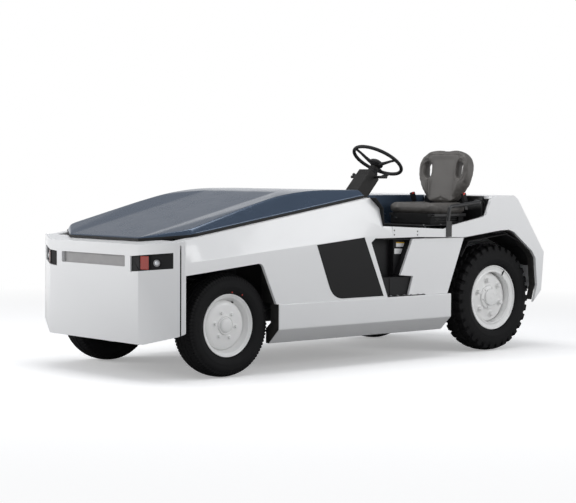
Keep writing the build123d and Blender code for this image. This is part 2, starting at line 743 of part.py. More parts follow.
# Rear axle: tube with a final drive bulge, spring seats, drums and stub ends
drum_r = 150
drum_in = rear_tyre_y - 84
with BuildPart() as rear_axle:
    with BuildSketch(Plane.XZ.offset(drum_in)):
        with Locations((rear_x, rear_tyre_r)):
            Circle(rear_tube_r)
    extrude(amount=-2 * drum_in)
    with Locations((rear_x, 0, rear_tyre_r)):
        Sphere(142)
    for side in (1, -1):
        with Locations((rear_x, side * spring_y, rear_seat_z - 20)):
            Box(110, 2 * spring_half, 40)
        with BuildSketch(Plane.XZ.offset(-side * drum_in)):
            with Locations((rear_x, rear_tyre_r)):
                Circle(drum_r)
        extrude(amount=-side * 62)
        with BuildSketch(Plane.XZ.offset(-side * drum_in)):
            with Locations((rear_x, rear_tyre_r)):
                Circle(stub_r)
        extrude(amount=-side * (rear_rim_face - 34 - drum_in))
rear_axle.part.label = "rear_axle"
export_step(rear_axle.part, "parts/rear_axle.step")

# Drive motor ahead of the rear axle
motor_r = 140
with BuildPart() as drive_motor:
    with BuildSketch(Plane.YZ.offset(rear_x + 142 + seat_gap)):
        with Locations((0, rear_tyre_r)):
            Circle(motor_r)
    extrude(amount=330)
drive_motor.part.label = "drive_motor"
export_step(drive_motor.part, "parts/drive_motor.step")


# Wheels: each rim and tyre is turned about the wheel's own axis, y outwards
def wheel_rim(rim_r, width, face_y, end_cap):
    """Steel rim with a drop well, a dished disc and a hub bored for the stub axle."""
    inner_y = face_y - width
    with BuildPart() as rim:
        with BuildSketch(Plane.XY):
            Polygon(
                (rim_r, inner_y), (rim_r, inner_y + 7), (rim_r - 18, inner_y + 14),
                (rim_r - 20, inner_y + 38), (rim_r - 32, inner_y + 52), (rim_r - 32, face_y - 52),
                (rim_r - 20, face_y - 38), (rim_r - 18, face_y - 14), (rim_r, face_y - 7),
                (rim_r, face_y), (rim_r - 7, face_y), (rim_r - 25, face_y - 10),
                (rim_r - 27, face_y - 42), (rim_r - 39, face_y - 56), (rim_r - 39, inner_y + 56),
                (rim_r - 27, inner_y + 42), (rim_r - 25, inner_y + 14), (rim_r - 7, inner_y), align=None)
            Polygon(
                (rim_r - 36, face_y - 60), (rim_r - 44, face_y - 44), (rim_r - 78, face_y - 34),
                (stub_r + 46, face_y - 30), (stub_r + 30, face_y - 30), (stub_r + 22, face_y - 18),
                (stub_r, face_y - 10), (0, face_y - end_cap), (0, face_y - end_cap - 12),
                (stub_r + 10, face_y - 24), (stub_r + 10, face_y - 100), (stub_r + 24, face_y - 100),
                (stub_r + 24, face_y - 42), (rim_r - 80, face_y - 44), (rim_r - 50, face_y - 54),
                (rim_r - 42, face_y - 68), align=None)
        revolve(axis=Axis.Y)
        with BuildSketch(Plane.XZ.offset(-(face_y - 100))):
            Circle(stub_r + 12)
            Circle(stub_r + running_gap, mode=Mode.SUBTRACT)
        extrude(amount=-60)
    return rim.part


def wheel_tyre(outer_r, width, rim_r, centre_y):
    """Tyre with a rounded shoulder and beads seated between the rim's flanges."""
    half = width / 2
    bead_r = rim_r - 18 + seat_gap
    with BuildPart() as tyre:
        with BuildSketch(Plane.XY):
            with BuildLine():
                Polyline(
                    (bead_r, centre_y - 50), (bead_r, centre_y + 50), (rim_r - 2, centre_y + 56))
                Spline(
                    (rim_r - 2, centre_y + 56), (rim_r + 12, centre_y + half - 9),
                    ((rim_r + outer_r) / 2, centre_y + half), (outer_r - 22, centre_y + half - 12))
                ThreePointArc(
                    (outer_r - 22, centre_y + half - 12), (outer_r, centre_y),
                    (outer_r - 22, centre_y - half + 12))
                Spline(
                    (outer_r - 22, centre_y - half + 12), ((rim_r + outer_r) / 2, centre_y - half),
                    (rim_r + 12, centre_y - half + 9), (rim_r - 2, centre_y - 56))
                Polyline((rim_r - 2, centre_y - 56), (bead_r, centre_y - 50))
            make_face()
        revolve(axis=Axis.Y)
    return tyre.part


front_rim = wheel_rim(front_rim_r, front_rim_w, front_rim_face, 8)
rear_rim = wheel_rim(rear_rim_r, rear_rim_w, rear_rim_face, 8)
front_tyre = wheel_tyre(front_tyre_r, front_tyre_w, front_rim_r, front_rim_face - front_rim_w / 2)
rear_tyre = wheel_tyre(rear_tyre_r, rear_tyre_w, rear_rim_r, rear_rim_face - rear_rim_w / 2)
for end, x, z, rim, tyre in (
        ("front", front_x, front_tyre_r, front_rim, front_tyre),
        ("rear", rear_x, rear_tyre_r, rear_rim, rear_tyre)):
    both_sides(f"rim_{end}", Pos(x, 0, z) * rim)
    both_sides(f"tyre_{end}", Pos(x, 0, z) * tyre)

# Wheelhouse liners: black sheets over the tyres, clear of the steering sweep
liner_in = rail_y + rail_w + 12
liner_out = side_y - 12
liner_front = seam_x - 2
liner_top = arch_top_z + 24
with BuildPart() as front_liners:
    with BuildSketch(Plane.XZ.offset(-liner_out)):
        Polygon(
            (liner_front - sheet, liner_top), (arch_rear_x + 20, liner_top),
            (arch_rear_x - 52, liner_top - 40), (arch_rear_x - 60, ridge_z), (arch_rear_x - 66, ridge_z),
            (arch_rear_x - 58, liner_top - 36), (arch_rear_x + 17, liner_top + sheet),
            (liner_front, liner_top + sheet), (liner_front, ridge_z), (liner_front - sheet, ridge_z),
            align=None)
    extrude(amount=liner_out - liner_in)
    mirror(about=Plane.XZ)
front_liners.part.label = "front_liners"
export_step(front_liners.part, "parts/front_liners.step")

with BuildPart() as rear_liners:
    with BuildSketch(Plane.XZ.offset(-side_y + seat_gap)):
        with BuildLine():
            outer = Polyline(
                (rear_x + 400, 640), (rear_x + 330, 740), (rear_x - 40, 780), (rear_x - 270, 690),
                (rear_x - 350, 560))
            offset(outer, amount=sheet, side=Side.LEFT)
        make_face()
    extrude(amount=side_y - 430)
    mirror(about=Plane.XZ)
rear_liners.part.label = "rear_liners"
export_step(rear_liners.part, "parts/rear_liners.step")

# Hitch: three plates welded to a draw plate, with a drop-in pin through them
hitch_root = chassis_rear - 20 - seat_gap
hitch_low = 300
hitch_pin_x = tail_x + 46
hitch_levels = [hitch_low + i * (hitch_plate_t + hitch_gap) for i in range(3)]
hitch_top = hitch_levels[-1] + hitch_plate_t
with BuildPart() as hitch:
    with BuildSketch(Plane.YZ.offset(hitch_root)):
        with Locations((0, (hitch_low + hitch_top) / 2)):
            Rectangle(280, hitch_top - hitch_low + 40)
    extrude(amount=-22)
    for z in hitch_levels:
        with BuildSketch(Plane.XY.offset(z)):
            Polygon(
                (hitch_root - 10, hitch_half + 20), (hitch_pin_x, hitch_half - 30),
                (tail_x + 12, hitch_half - 54), (tail_x + 12, 54 - hitch_half),
                (hitch_pin_x, 30 - hitch_half), (hitch_root - 10, -hitch_half - 20), align=None)
            with Locations((hitch_pin_x, 0)):
                Circle(46)
                Circle(pin_r + pin_clearance, mode=Mode.SUBTRACT)
        extrude(amount=hitch_plate_t)
hitch.part.label = "hitch"
export_step(hitch.part, "parts/hitch.step")

with BuildPart() as hitch_pin:
    with BuildSketch(Plane.XY.offset(hitch_low - 14)):
        with Locations((hitch_pin_x, 0)):
            Circle(pin_r)
    extrude(amount=hitch_top + 60 - hitch_low + 14)
    with BuildSketch(Plane.XY.offset(hitch_top + seat_gap)):
        with Locations((hitch_pin_x, 0)):
            Circle(pin_r + 9)
    extrude(amount=10)
    with BuildSketch(Plane(origin=(hitch_pin_x, 0, hitch_top + 88), z_dir=(0, 1, 0))):
        with Locations((0, 0)):
            Circle(34)
            Circle(24, mode=Mode.SUBTRACT)
    extrude(amount=6, both=True)
hitch_pin.part.label = "hitch_pin"
export_step(hitch_pin.part, "parts/hitch_pin.step")

# Hood: leaning sides on a sloping base plane, cut by a long crest line with one large arc
base_plane = Plane(
    origin=(nose_x, 0, nose_top), x_dir=(cos(shoulder_angle), 0, -sin(shoulder_angle)),
    z_dir=(sin(shoulder_angle), 0, cos(shoulder_angle)))
hood_rear_x = cowl_x + 6


def along(x):
    """Distance along the sloping base plane, from the nose, of the point above x."""
    return (x - nose_x) / cos(shoulder_angle)


def hood_plan(inset):
    """Half outline of the hood on its base plane, from the lip back to the cowl."""
    return [
        (along(lip_x - inset), lip_half), (along(nose_x - hood_corner_back - inset / 2), hood_half - inset),
        (along(hood_rear_x + inset), hood_half - inset)]


def hood_form(inset, base):
    """Solid under the hood's skin, drawn in by inset, standing on the raised base."""
    half = hood_plan(inset)
    outline = half + [(x, -y) for x, y in reversed(half)]
    crest_top = hood_crest_z - inset
    lip_z = nose_top + (nose_x - lip_x) * shoulder_slope + seal_h + hood_front_rise - inset
    crest_x = lip_x - (crest_top - lip_z) / hood_slope
    with BuildPart() as form:
        with BuildSketch(base_plane.offset(base)):
            Polygon(*outline, align=None)
            fillet(vertices().group_by(Axis.X)[1], 120)
        extrude(amount=190, taper=hood_lean)
        with BuildSketch(Plane.XZ.offset(-half_width)):
            with BuildLine():
                crest = FilletPolyline(
                    (lip_x + 80, lip_z - 80 * hood_slope), (crest_x, crest_top),
                    (hood_rear_x - 90, crest_top), radius=hood_arc_r)
                Polyline(
                    crest @ 1, (hood_rear_x - 90, ridge_z), (lip_x + 80, ridge_z), crest @ 0)
            make_face()
        extrude(amount=2 * half_width, mode=Mode.INTERSECT)
    return form.part


with BuildPart() as hood:
    add(hood_form(0, seal_h))
    add(hood_form(hood_wall, seal_h - 1), mode=Mode.SUBTRACT)
    for side in (1, -1):
        with BuildSketch(Plane.XZ.offset(-side * hinge_y - hinge_t / 2)):
            Polygon(
                (hinge_x + 90, hinge_z - 4), (hinge_x + 90, hinge_z + 20), (hinge_x, hinge_z + 15),
                (hinge_x, hinge_z - 15), (hinge_x + 30, hinge_z - 15), align=None)
            with Locations((hinge_x, hinge_z)):
                Circle(15)
                Circle(hinge_pin_r + running_gap, mode=Mode.SUBTRACT)
        extrude(amount=hinge_t)
hood.part.label = "hood"
export_step(hood.part, "parts/hood.step")

# Black seal under the hood's edge, resting just above the rims
with BuildPart() as hood_seal:
    half = hood_plan(1)
    outline = half + [(x, -y) for x, y in reversed(half)]
    with BuildSketch(base_plane.offset(seat_gap)):
        Polygon(*outline, align=None)
        fillet(vertices().group_by(Axis.X)[1], 120)
        offset(amount=-22, mode=Mode.SUBTRACT)
    extrude(amount=seal_h - 2 * seat_gap)
    with BuildSketch(Plane.XY.offset(cowl_top - wall)):
        with Locations((hinge_x, hinge_y), (hinge_x, -hinge_y)):
            Rectangle(200, hinge_t + 2 * seat_gap)
    extrude(amount=4 * wall, mode=Mode.SUBTRACT)
hood_seal.part.label = "hood_seal"
export_step(hood_seal.part, "parts/hood_seal.step")
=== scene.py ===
import json
import math

import bmesh
import bpy
import numpy as np
from mathutils import Matrix, Vector


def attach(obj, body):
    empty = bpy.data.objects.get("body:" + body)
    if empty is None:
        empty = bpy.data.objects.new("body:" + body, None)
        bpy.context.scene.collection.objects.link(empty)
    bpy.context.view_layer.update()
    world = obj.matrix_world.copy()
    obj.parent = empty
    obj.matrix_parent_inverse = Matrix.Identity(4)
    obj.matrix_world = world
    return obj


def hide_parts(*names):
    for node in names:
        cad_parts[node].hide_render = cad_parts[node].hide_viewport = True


# Baggage tug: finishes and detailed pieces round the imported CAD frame.
# Everything is in metres: +X to the nose, +Y to the driver's left, +Z up.

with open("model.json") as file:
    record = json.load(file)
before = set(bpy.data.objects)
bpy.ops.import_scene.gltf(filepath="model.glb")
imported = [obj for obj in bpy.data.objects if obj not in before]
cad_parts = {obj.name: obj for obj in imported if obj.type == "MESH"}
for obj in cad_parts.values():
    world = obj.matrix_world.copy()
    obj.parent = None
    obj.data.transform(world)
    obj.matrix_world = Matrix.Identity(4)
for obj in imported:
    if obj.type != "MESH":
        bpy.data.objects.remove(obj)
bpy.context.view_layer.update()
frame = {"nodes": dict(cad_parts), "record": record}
nodes = frame["nodes"]
print("frame loaded:", len(nodes), "nodes")


class Flow:  # a socket, or a number, that takes part in shader sums
    def __init__(self, finish, socket):
        self.finish = finish
        self.socket = socket

    def combine(self, operation, first, second):
        return self.finish.node("ShaderNodeMath", {"operation": operation}, {0: first, 1: second})[0]

    def __add__(self, other):
        return self.combine("ADD", self, other)

    def __radd__(self, other):
        return self.combine("ADD", other, self)

    def __sub__(self, other):
        return self.combine("SUBTRACT", self, other)

    def __rsub__(self, other):
        return self.combine("SUBTRACT", other, self)

    def __mul__(self, other):
        return self.combine("MULTIPLY", self, other)

    def __rmul__(self, other):
        return self.combine("MULTIPLY", other, self)


class Finish:  # one material, its shader and the patterns that feed it
    def __init__(self, name):
        self.material = bpy.data.materials.new(name)
        self.material.use_nodes = True
        self.tree = self.material.node_tree
        self.shader = self.tree.nodes["Principled BSDF"]
        self.place = self.node("ShaderNodeTexCoord", {}, {})[3]

    def node(self, kind, settings, sockets):
        made = self.tree.nodes.new(kind)
        for key, value in settings.items():
            if key == "stops":
                ramp = made.color_ramp.elements
                while len(ramp) < len(value):
                    ramp.new(1.0)
                for stop, (position, shade) in zip(ramp, value):
                    stop.position = position
                    stop.color = (*shade, 1.0) if len(shade) == 3 else shade
            else:
                setattr(made, key, value)
        for key, value in sockets.items():
            if isinstance(value, Flow):
                self.tree.links.new(value.socket, made.inputs[key])
            else:
                made.inputs[key].default_value = value
        return [Flow(self, socket) for socket in made.outputs]

    def set(self, **values):  # roughness=0.4 sets the shader's Roughness socket, a Flow is linked
        for key, value in values.items():
            socket = self.shader.inputs[key.replace("_", " ").title().replace("Ior", "IOR")]
            if isinstance(value, Flow):
                self.tree.links.new(value.socket, socket)
            else:
                socket.default_value = (*value, 1.0) if isinstance(value, tuple) and len(value) == 3 else value

    def noise(self, scale, detail=3.0, roughness=0.5, vector=None):
        sockets = {"Vector": vector or self.place, "Scale": scale, "Detail": detail, "Roughness": roughness}
        return self.node("ShaderNodeTexNoise", {}, sockets)[0]

    def cells(self, scale, feature="F1", vector=None):
        sockets = {"Vector": vector or self.place, "Scale": scale}
        return self.node("ShaderNodeTexVoronoi", {"feature": feature}, sockets)[0]

    def shade(self, amount, low, high):  # colour between low and high
        return self.node("ShaderNodeMix", {"data_type": "RGBA"}, {0: amount, 6: (*low, 1), 7: (*high, 1)})[2]

    def span(self, value, low, high, toLow, toHigh):  # value from low..high mapped to toLow..toHigh, clamped
        sockets = {0: value, 1: low, 2: high, 3: toLow, 4: toHigh}
        return self.node("ShaderNodeMapRange", {"clamp": True}, sockets)[0]

    def bump(self, height, distance, strength=1.0):
        sockets = {"Height": height, "Distance": distance, "Strength": strength}
        self.set(normal=self.node("ShaderNodeBump", {}, sockets)[0])


# Finishes

def enamel(name, colour, roughness=0.32, coat=0.35, flake=0.0, metal=0.0):
    f = Finish(name)
    cloud = f.noise(2.4, 4.0)
    low = tuple(c * 0.965 for c in colour)
    f.set(base_color=f.shade(cloud, low, colour), metallic=metal)
    f.set(roughness=f.span(f.noise(9.0), 0.3, 0.7, roughness - 0.03, roughness + 0.04))
    f.set(coat_weight=coat, coat_roughness=0.08, coat_ior=1.5)
    peel = f.noise(420.0, 2.0)
    if flake:
        peel = peel + f.cells(1400.0) * flake
    f.bump(peel, 0.00012, 0.35)
    return f.material


def moulded(name, colour, roughness=0.62, grain=900.0, depth=0.00012):
    f = Finish(name)
    f.set(specular_ior_level=0.22)
    pebble = f.cells(grain)
    wear = f.noise(14.0, 5.0)
    high = tuple(min(1.0, c * 1.35 + 0.004) for c in colour)
    f.set(base_color=f.shade(wear, colour, high))
    f.set(roughness=f.span(wear + pebble * 0.3, 0.3, 0.9, roughness - 0.06, roughness + 0.08))
    f.bump(pebble, depth, 0.6)
    return f.material


def rubber(name, colour=(0.007, 0.007, 0.0075), roughness=0.74):
    f = Finish(name)
    f.set(specular_ior_level=0.22)
    dust = f.noise(26.0, 6.0, 0.6)
    f.set(base_color=f.shade(f.span(dust, 0.45, 0.8, 0.0, 1.0), colour, tuple(c * 1.7 for c in colour)))
    f.set(roughness=f.span(dust, 0.3, 0.8, roughness - 0.08, roughness + 0.1))
    f.bump(f.noise(700.0, 3.0), 0.00015, 0.5)
    return f.material


def vinyl(name, colour=(0.078, 0.073, 0.068)):
    f = Finish(name)
    hide = f.node("ShaderNodeTexVoronoi", {"feature": "DISTANCE_TO_EDGE"}, {"Vector": f.place, "Scale": 420.0})[0]
    crease = f.span(hide, 0.0, 0.25, 0.0, 1.0)
    cloud = f.noise(7.0, 4.0)
    f.set(base_color=f.shade(cloud, colour, tuple(c * 1.4 for c in colour)))
    f.set(roughness=f.span(crease * 0.5 + cloud * 0.5, 0.2, 0.9, 0.58, 0.42))
    f.bump(crease * 0.6 + f.noise(60.0) * 0.6, 0.0003, 0.45)
    return f.material


def steel(name, colour=(0.42, 0.42, 0.43), roughness=0.34, metal=1.0):
    f = Finish(name)
    stretch = f.node("ShaderNodeMapping", {}, {"Vector": f.place, "Scale": (12.0, 12.0, 220.0)})[0]
    brush = f.noise(6.0, 5.0, 0.6, stretch)
    f.set(base_color=f.shade(brush, tuple(c * 0.82 for c in colour), colour), metallic=metal)
    f.set(roughness=f.span(brush, 0.3, 0.7, roughness - 0.07, roughness + 0.1))
    f.bump(brush, 0.00008, 0.5)
    return f.material


def casting(name, colour):
    f = Finish(name)
    rough = f.noise(180.0, 5.0, 0.65)
    grime = f.noise(9.0, 6.0)
    f.set(base_color=f.shade(f.span(grime, 0.4, 0.75, 0.0, 1.0), colour, tuple(c * 1.8 + 0.01 for c in colour)))
    f.set(roughness=f.span(rough, 0.3, 0.8, 0.5, 0.72))
    f.bump(rough, 0.0006, 0.5)
    return f.material


def lens(name, colour, ribs=260.0, glow=0.0):
    f = Finish(name)
    wave = f.node("ShaderNodeTexWave", {"bands_direction": "Z"}, {"Vector": f.place, "Scale": ribs})[1]
    f.set(base_color=f.shade(wave, colour, tuple(min(1.0, c * 1.25) for c in colour)))
    f.set(roughness=f.span(wave, 0.0, 1.0, 0.12, 0.2), coat_weight=1.0, coat_roughness=0.03)
    f.set(emission_color=(*colour, 1.0), emission_strength=glow)
    f.bump(wave, 0.0004, 0.5)
    return f.material


finishes = {
    "white": enamel("white enamel", (0.85, 0.855, 0.86)),
    "slate": enamel("slate enamel", (0.060, 0.090, 0.140), 0.25, 0.35, 0.0, 0.45),
    "black": enamel("black enamel", (0.012, 0.012, 0.013), 0.42, 0.2),
    "rim": enamel("silver rim enamel", (0.93, 0.93, 0.92), 0.36, 0.25, 0.12, 0.0),
    "tyre": rubber("tyre rubber"),
    "seal": rubber("seal rubber", (0.012, 0.012, 0.012), 0.5),
    "plastic": moulded("black moulding", (0.010, 0.010, 0.0105)),
    "greyPanel": moulded("grey panel", (0.30, 0.295, 0.295), 0.5, 700.0, 0.00006),
    "turn": lens("turn lens", (0.36, 0.020, 0.008), 900.0),
    "clear": lens("clear lens", (0.75, 0.77, 0.8), 700.0),
    "tail": lens("tail lens", (0.35, 0.01, 0.01), 500.0),
    "vinyl": vinyl("seat vinyl"),
    "battery": moulded("battery case", (0.03, 0.033, 0.036), 0.55, 500.0),
    "steel": steel("machined steel"),
    "iron": casting("axle casting", (0.014, 0.014, 0.015)),
    "decal": moulded("black decal film", (0.0065, 0.0065, 0.007), 0.5, 500.0, 0.00004),
    "panelBlack": moulded("footwell black", (0.012, 0.012, 0.013), 0.5, 600.0, 0.00008),
    "grip": moulded("soft grip", (0.014, 0.014, 0.0145), 0.55, 700.0, 0.0002),
    "cover": moulded("column moulding", (0.014, 0.0135, 0.013), 0.55, 520.0, 0.0003),
    "arch": rubber("arch liner", (0.030, 0.029, 0.028), 0.55),
    "plate": enamel("blank plate", (0.78, 0.78, 0.78), 0.4, 0.2),
    "yellow": enamel("yellow band", (0.72, 0.42, 0.02), 0.4, 0.3),
    "red": enamel("red mark", (0.55, 0.03, 0.01), 0.5, 0.0),
}
slotFinish = {
    "white_paint": "white", "slate_paint": "slate", "black_paint": "black", "rim_paint": "rim",
    "tyre": "tyre", "seal_rubber": "seal", "black_plastic": "plastic", "grey_panel": "greyPanel",
    "turn_lens": "turn", "clear_lens": "clear", "tail_lens": "tail", "vinyl": "vinyl",
    "battery_case": "battery", "bare_steel": "steel", "axle_iron": "iron",
}
for row in frame["record"]["subparts"]:
    mesh = nodes[row["node"]].data
    mesh.materials.clear()
    mesh.materials.append(finishes[slotFinish[row["material_slot"]]])
print("finishes made:", len(finishes))

# Shapes


def linkNew(name, data):
    made = bpy.data.objects.new(name.replace(" ", "_"), data)
    bpy.context.scene.collection.objects.link(made)
    return made


class Shape:  # corners and faces gathered from simple forms, in metres
    def __init__(self):
        self.corners = []
        self.faces = []
        self.paints = []

    def put(self, corners, faces, paint=0):
        start = len(self.corners)
        self.corners += [tuple(c) for c in corners]
        self.faces += [[start + i for i in face] for face in faces]
        self.paints += [paint] * len(faces)
        return self

    # Quads between neighbours of a rows by columns array of points.
    def grid(self, points, wrapRows=False, wrapCols=False, capEnds=False, paint=0):
        rows, cols = points.shape[:2]
        r, c = np.meshgrid(np.arange(rows - (not wrapRows)), np.arange(cols - (not wrapCols)), indexing="ij")
        nextR, nextC = (r + 1) % rows * cols, (c + 1) % cols
        faces = np.stack([r * cols + c, r * cols + nextC, nextR + nextC, nextR + c], -1).reshape(-1, 4).tolist()
        if capEnds:
            faces += [list(range(cols))[::-1], [(rows - 1) * cols + i for i in range(cols)]]
        return self.put(points.reshape(-1, 3).tolist(), faces, paint)

    def prism(self, outline, low, high, axis, paint=0):  # outline in the two other axes, in x, y, z order
        flat = np.array(outline, float)
        layers = [np.insert(flat, "xyz".index(axis), level, axis=1) for level in (low, high)]
        return self.grid(np.array(layers), wrapCols=True, capEnds=True, paint=paint)

    def box(self, low, high, paint=0):
        outline = [(low[0], low[1]), (high[0], low[1]), (high[0], high[1]), (low[0], high[1])]
        return self.prism(outline, low[2], high[2], "z", paint)

    def turned(self, profile, centre, steps=48, paint=0, closed=False, axis="y"):
        # Each profile pair is a radius and a distance along the axis, turned round it.
        angle = np.linspace(0, 2 * math.pi, steps, endpoint=False)
        radius, along = np.array(profile, float).T
        ring = [np.outer(radius, np.cos(angle)), np.outer(radius, np.sin(angle))]
        ring.insert("xyz".index(axis), np.repeat(along[:, None], steps, 1))
        points = np.stack(ring, -1) + np.array(centre)
        return self.grid(points, wrapRows=closed, wrapCols=True, paint=paint)

    # Circle carried along the path, square to it at every point.
    def tube(self, path, radius, steps=12, closed=False, paint=0):
        path = np.array(path, float)
        ahead = np.roll(path, -1, 0) - np.roll(path, 1, 0)
        if not closed:
            ahead[0] = path[1] - path[0]
            ahead[-1] = path[-1] - path[-2]
        ahead /= np.linalg.norm(ahead, axis=1)[:, None]
        slant = (0.31, 0.52, 0.79)
        side = np.cross(ahead, slant if abs(ahead[0] @ slant) < 0.9 else (1, 0, 0))
        side /= np.linalg.norm(side, axis=1)[:, None]
        up = np.cross(ahead, side)
        radius = np.broadcast_to(radius, len(path))[:, None, None]
        angle = np.linspace(0, 2 * math.pi, steps, endpoint=False)[None, :, None]
        points = path[:, None] + radius * (np.cos(angle) * side[:, None] + np.sin(angle) * up[:, None])
        return self.grid(points, wrapRows=closed, wrapCols=True, capEnds=not closed, paint=paint)

    def moved(self, matrix):
        self.corners = [tuple(matrix @ Vector(c)) for c in self.corners]
        return self

    def both(self):  # adds the mirror image on the other side
        corners = [(x, -y, z) for x, y, z in self.corners]
        for face, paint in zip(list(self.faces), list(self.paints)):
            self.faces.append([i + len(corners) for i in reversed(face)])
            self.paints.append(paint)
        self.corners += corners
        return self

    def other(self):
        made = Shape()
        made.corners = [(x, -y, z) for x, y, z in self.corners]
        made.faces = [face[::-1] for face in self.faces]
        made.paints = list(self.paints)
        return made


def bend(points, radius, steps=5):  # path through the points, each inner corner a quadratic curve
    points = [np.array(p, float) for p in points]
    path = [points[0]]
    for before, corner, after in zip(points, points[1:], points[2:]):
        start = corner + (before - corner) * min(0.5, radius / np.linalg.norm(before - corner))
        end = corner + (after - corner) * min(0.5, radius / np.linalg.norm(after - corner))
        for t in np.linspace(0, 1, steps):
            path.append((1 - t) ** 2 * start + 2 * t * (1 - t) * corner + t * t * end)
    return path + [points[-1]]


def rounded(outline, radius, steps=5):  # closed outline with its corners rounded
    loop = [outline[-1], *outline, outline[0]]
    return bend(loop, radius, steps)[1:-1]


bodyRows = frame["record"]["behaviour"]["bodies"].items()
bodyOfNode = {node: body for body, members in bodyRows for node in members}


def finishPiece(made, body, replaced, soft=0.0, segments=3, sharp=35.0):
    if soft:
        bevel = made.modifiers.new("soft edges", "BEVEL")
        bevel.width = soft
        bevel.segments = segments
        bevel.limit_method = "ANGLE"
        bevel.angle_limit = math.radians(28)
        made.modifiers.new("even normals", "WEIGHTED_NORMAL").keep_sharp = True
    made.data.polygons.foreach_set("use_smooth", [True] * len(made.data.polygons))
    if not soft:
        made.data.set_sharp_from_angle(angle=math.radians(sharp))
    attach(made, body)
    if replaced:
        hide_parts(*replaced)
    return made


def piece(name, shape, finish, slotName, body="body", replaces=(), soft=0.0, segments=3, sharp=35.0):
    merge = 1e-6
    mesh = bpy.data.meshes.new(name)
    mesh.from_pydata(shape.corners, [], shape.faces)
    for key in (finish if isinstance(finish, tuple) else (finish,)):
        mesh.materials.append(finishes[key])
    mesh.polygons.foreach_set("material_index", shape.paints)
    loose = bmesh.new()
    loose.from_mesh(mesh)
    bmesh.ops.remove_doubles(loose, verts=loose.verts, dist=merge)
    bmesh.ops.dissolve_degenerate(loose, edges=loose.edges, dist=merge)
    bmesh.ops.recalc_face_normals(loose, faces=loose.faces)
    loose.to_mesh(mesh)
    loose.free()
    return finishPiece(linkNew(name, mesh), body, replaces, soft, segments, sharp)


# Copy of a CAD node with its sheet edges rounded, standing in for it.
def softened(node, width, segments=3, finish=None):
    mesh = nodes[node].data.copy()
    loose = bmesh.new()
    loose.from_mesh(mesh)
    bmesh.ops.remove_doubles(loose, verts=loose.verts, dist=1e-5)
    bmesh.ops.dissolve_limit(loose, angle_limit=math.radians(1.0), verts=loose.verts, edges=loose.edges)
    loose.to_mesh(mesh)
    loose.free()
    if finish:
        mesh.materials.clear()
        mesh.materials.append(finishes[finish])
    made = linkNew(node.replace("_", " ") + " dressed", mesh)
    return finishPiece(made, bodyOfNode[node], [node], width, segments)


def modified(made, kind, **settings):  # runs one modifier and keeps its result in the mesh
    step = made.modifiers.new(kind.lower(), kind)
    for key, value in settings.items():
        setattr(step, key, value)
    ready = bpy.data.meshes.new_from_object(made.evaluated_get(bpy.context.evaluated_depsgraph_get()))
    made.modifiers.remove(step)
    made.data = ready
    return made


def step01(value, low, high):  # smooth step from 0 at low to 1 at high
    t = np.clip((value - low) / (high - low), 0, 1)
    return t * t * (3 - 2 * t)


def bothWheels(end, shape, name, finish, slotName, **more):
    for side, form in (("left", shape), ("right", shape.other())):
        piece(f"{end} {side} {name}", form, finish, slotName, f"wheel_{end}_{side}", **{
            key: [value.format(side)] if key == "replaces" else value for key, value in more.items()})


# Body panels with softened sheet edges
panelEdges = {
    "nose_panel": 0.005, "side_panel_left": 0.005, "side_panel_right": 0.005, "rockers": 0.006,
    "beam_covers": 0.003, "rear_fender_left": 0.006, "rear_fender_right": 0.006, "quarter_panels": 0.004,
    "tail_panel": 0.007, "side_deck": 0.006, "seat_base": 0.003, "lamp_housings": 0.002, "dash": 0.006,
    "hip_guard": 0.0012, "hitch": 0.003, "tail_lamps": 0.003, "chassis": 0.004, "pedals": 0.003,
    "front_axle": 0.004, "front_liners": 0.002, "rear_liners": 0.002, "turn_lenses": 0.0025,
}
for node, width in panelEdges.items():
    softened(node, width)
print("panels softened")

# Hood: one pressed skin with a sunken centre panel between two shoulders
hood = {
    "lip": 1.585, "rear": 0.068, "half": 0.612, "lipHalf": 0.342, "corner": 1.428, "wall": 0.012,
    "baseHeight": 0.786, "baseSlope": 0.15895, "noseX": 1.66, "lean": 1.664, "crestLow": 0.8055,
    "crestSlope": 0.2755, "crestTop": 1.0715, "crestArc": 2.29, "panelHalf": 0.34, "panelLow": 0.8015,
    "panelSlope": 0.249, "wingSlope": 0.098, "round": 0.0045, "cornerRound": 0.030,
    "fold": 0.006, "crestRound": 0.0012, "armY": 0.4, "armHalf": 0.007,
    "arm": [(0.060, 1.016), (0.140, 1.012), (0.140, 1.034), (0.052, 1.045), (0.034, 1.040), (0.033, 1.020)],
}


def lowest(surfaces, radius):  # soft minimum: surfaces meet with a rounded edge
    return -radius * np.log(sum(np.exp(-(s - surfaces[0]) / radius) for s in surfaces)) + surfaces[0]


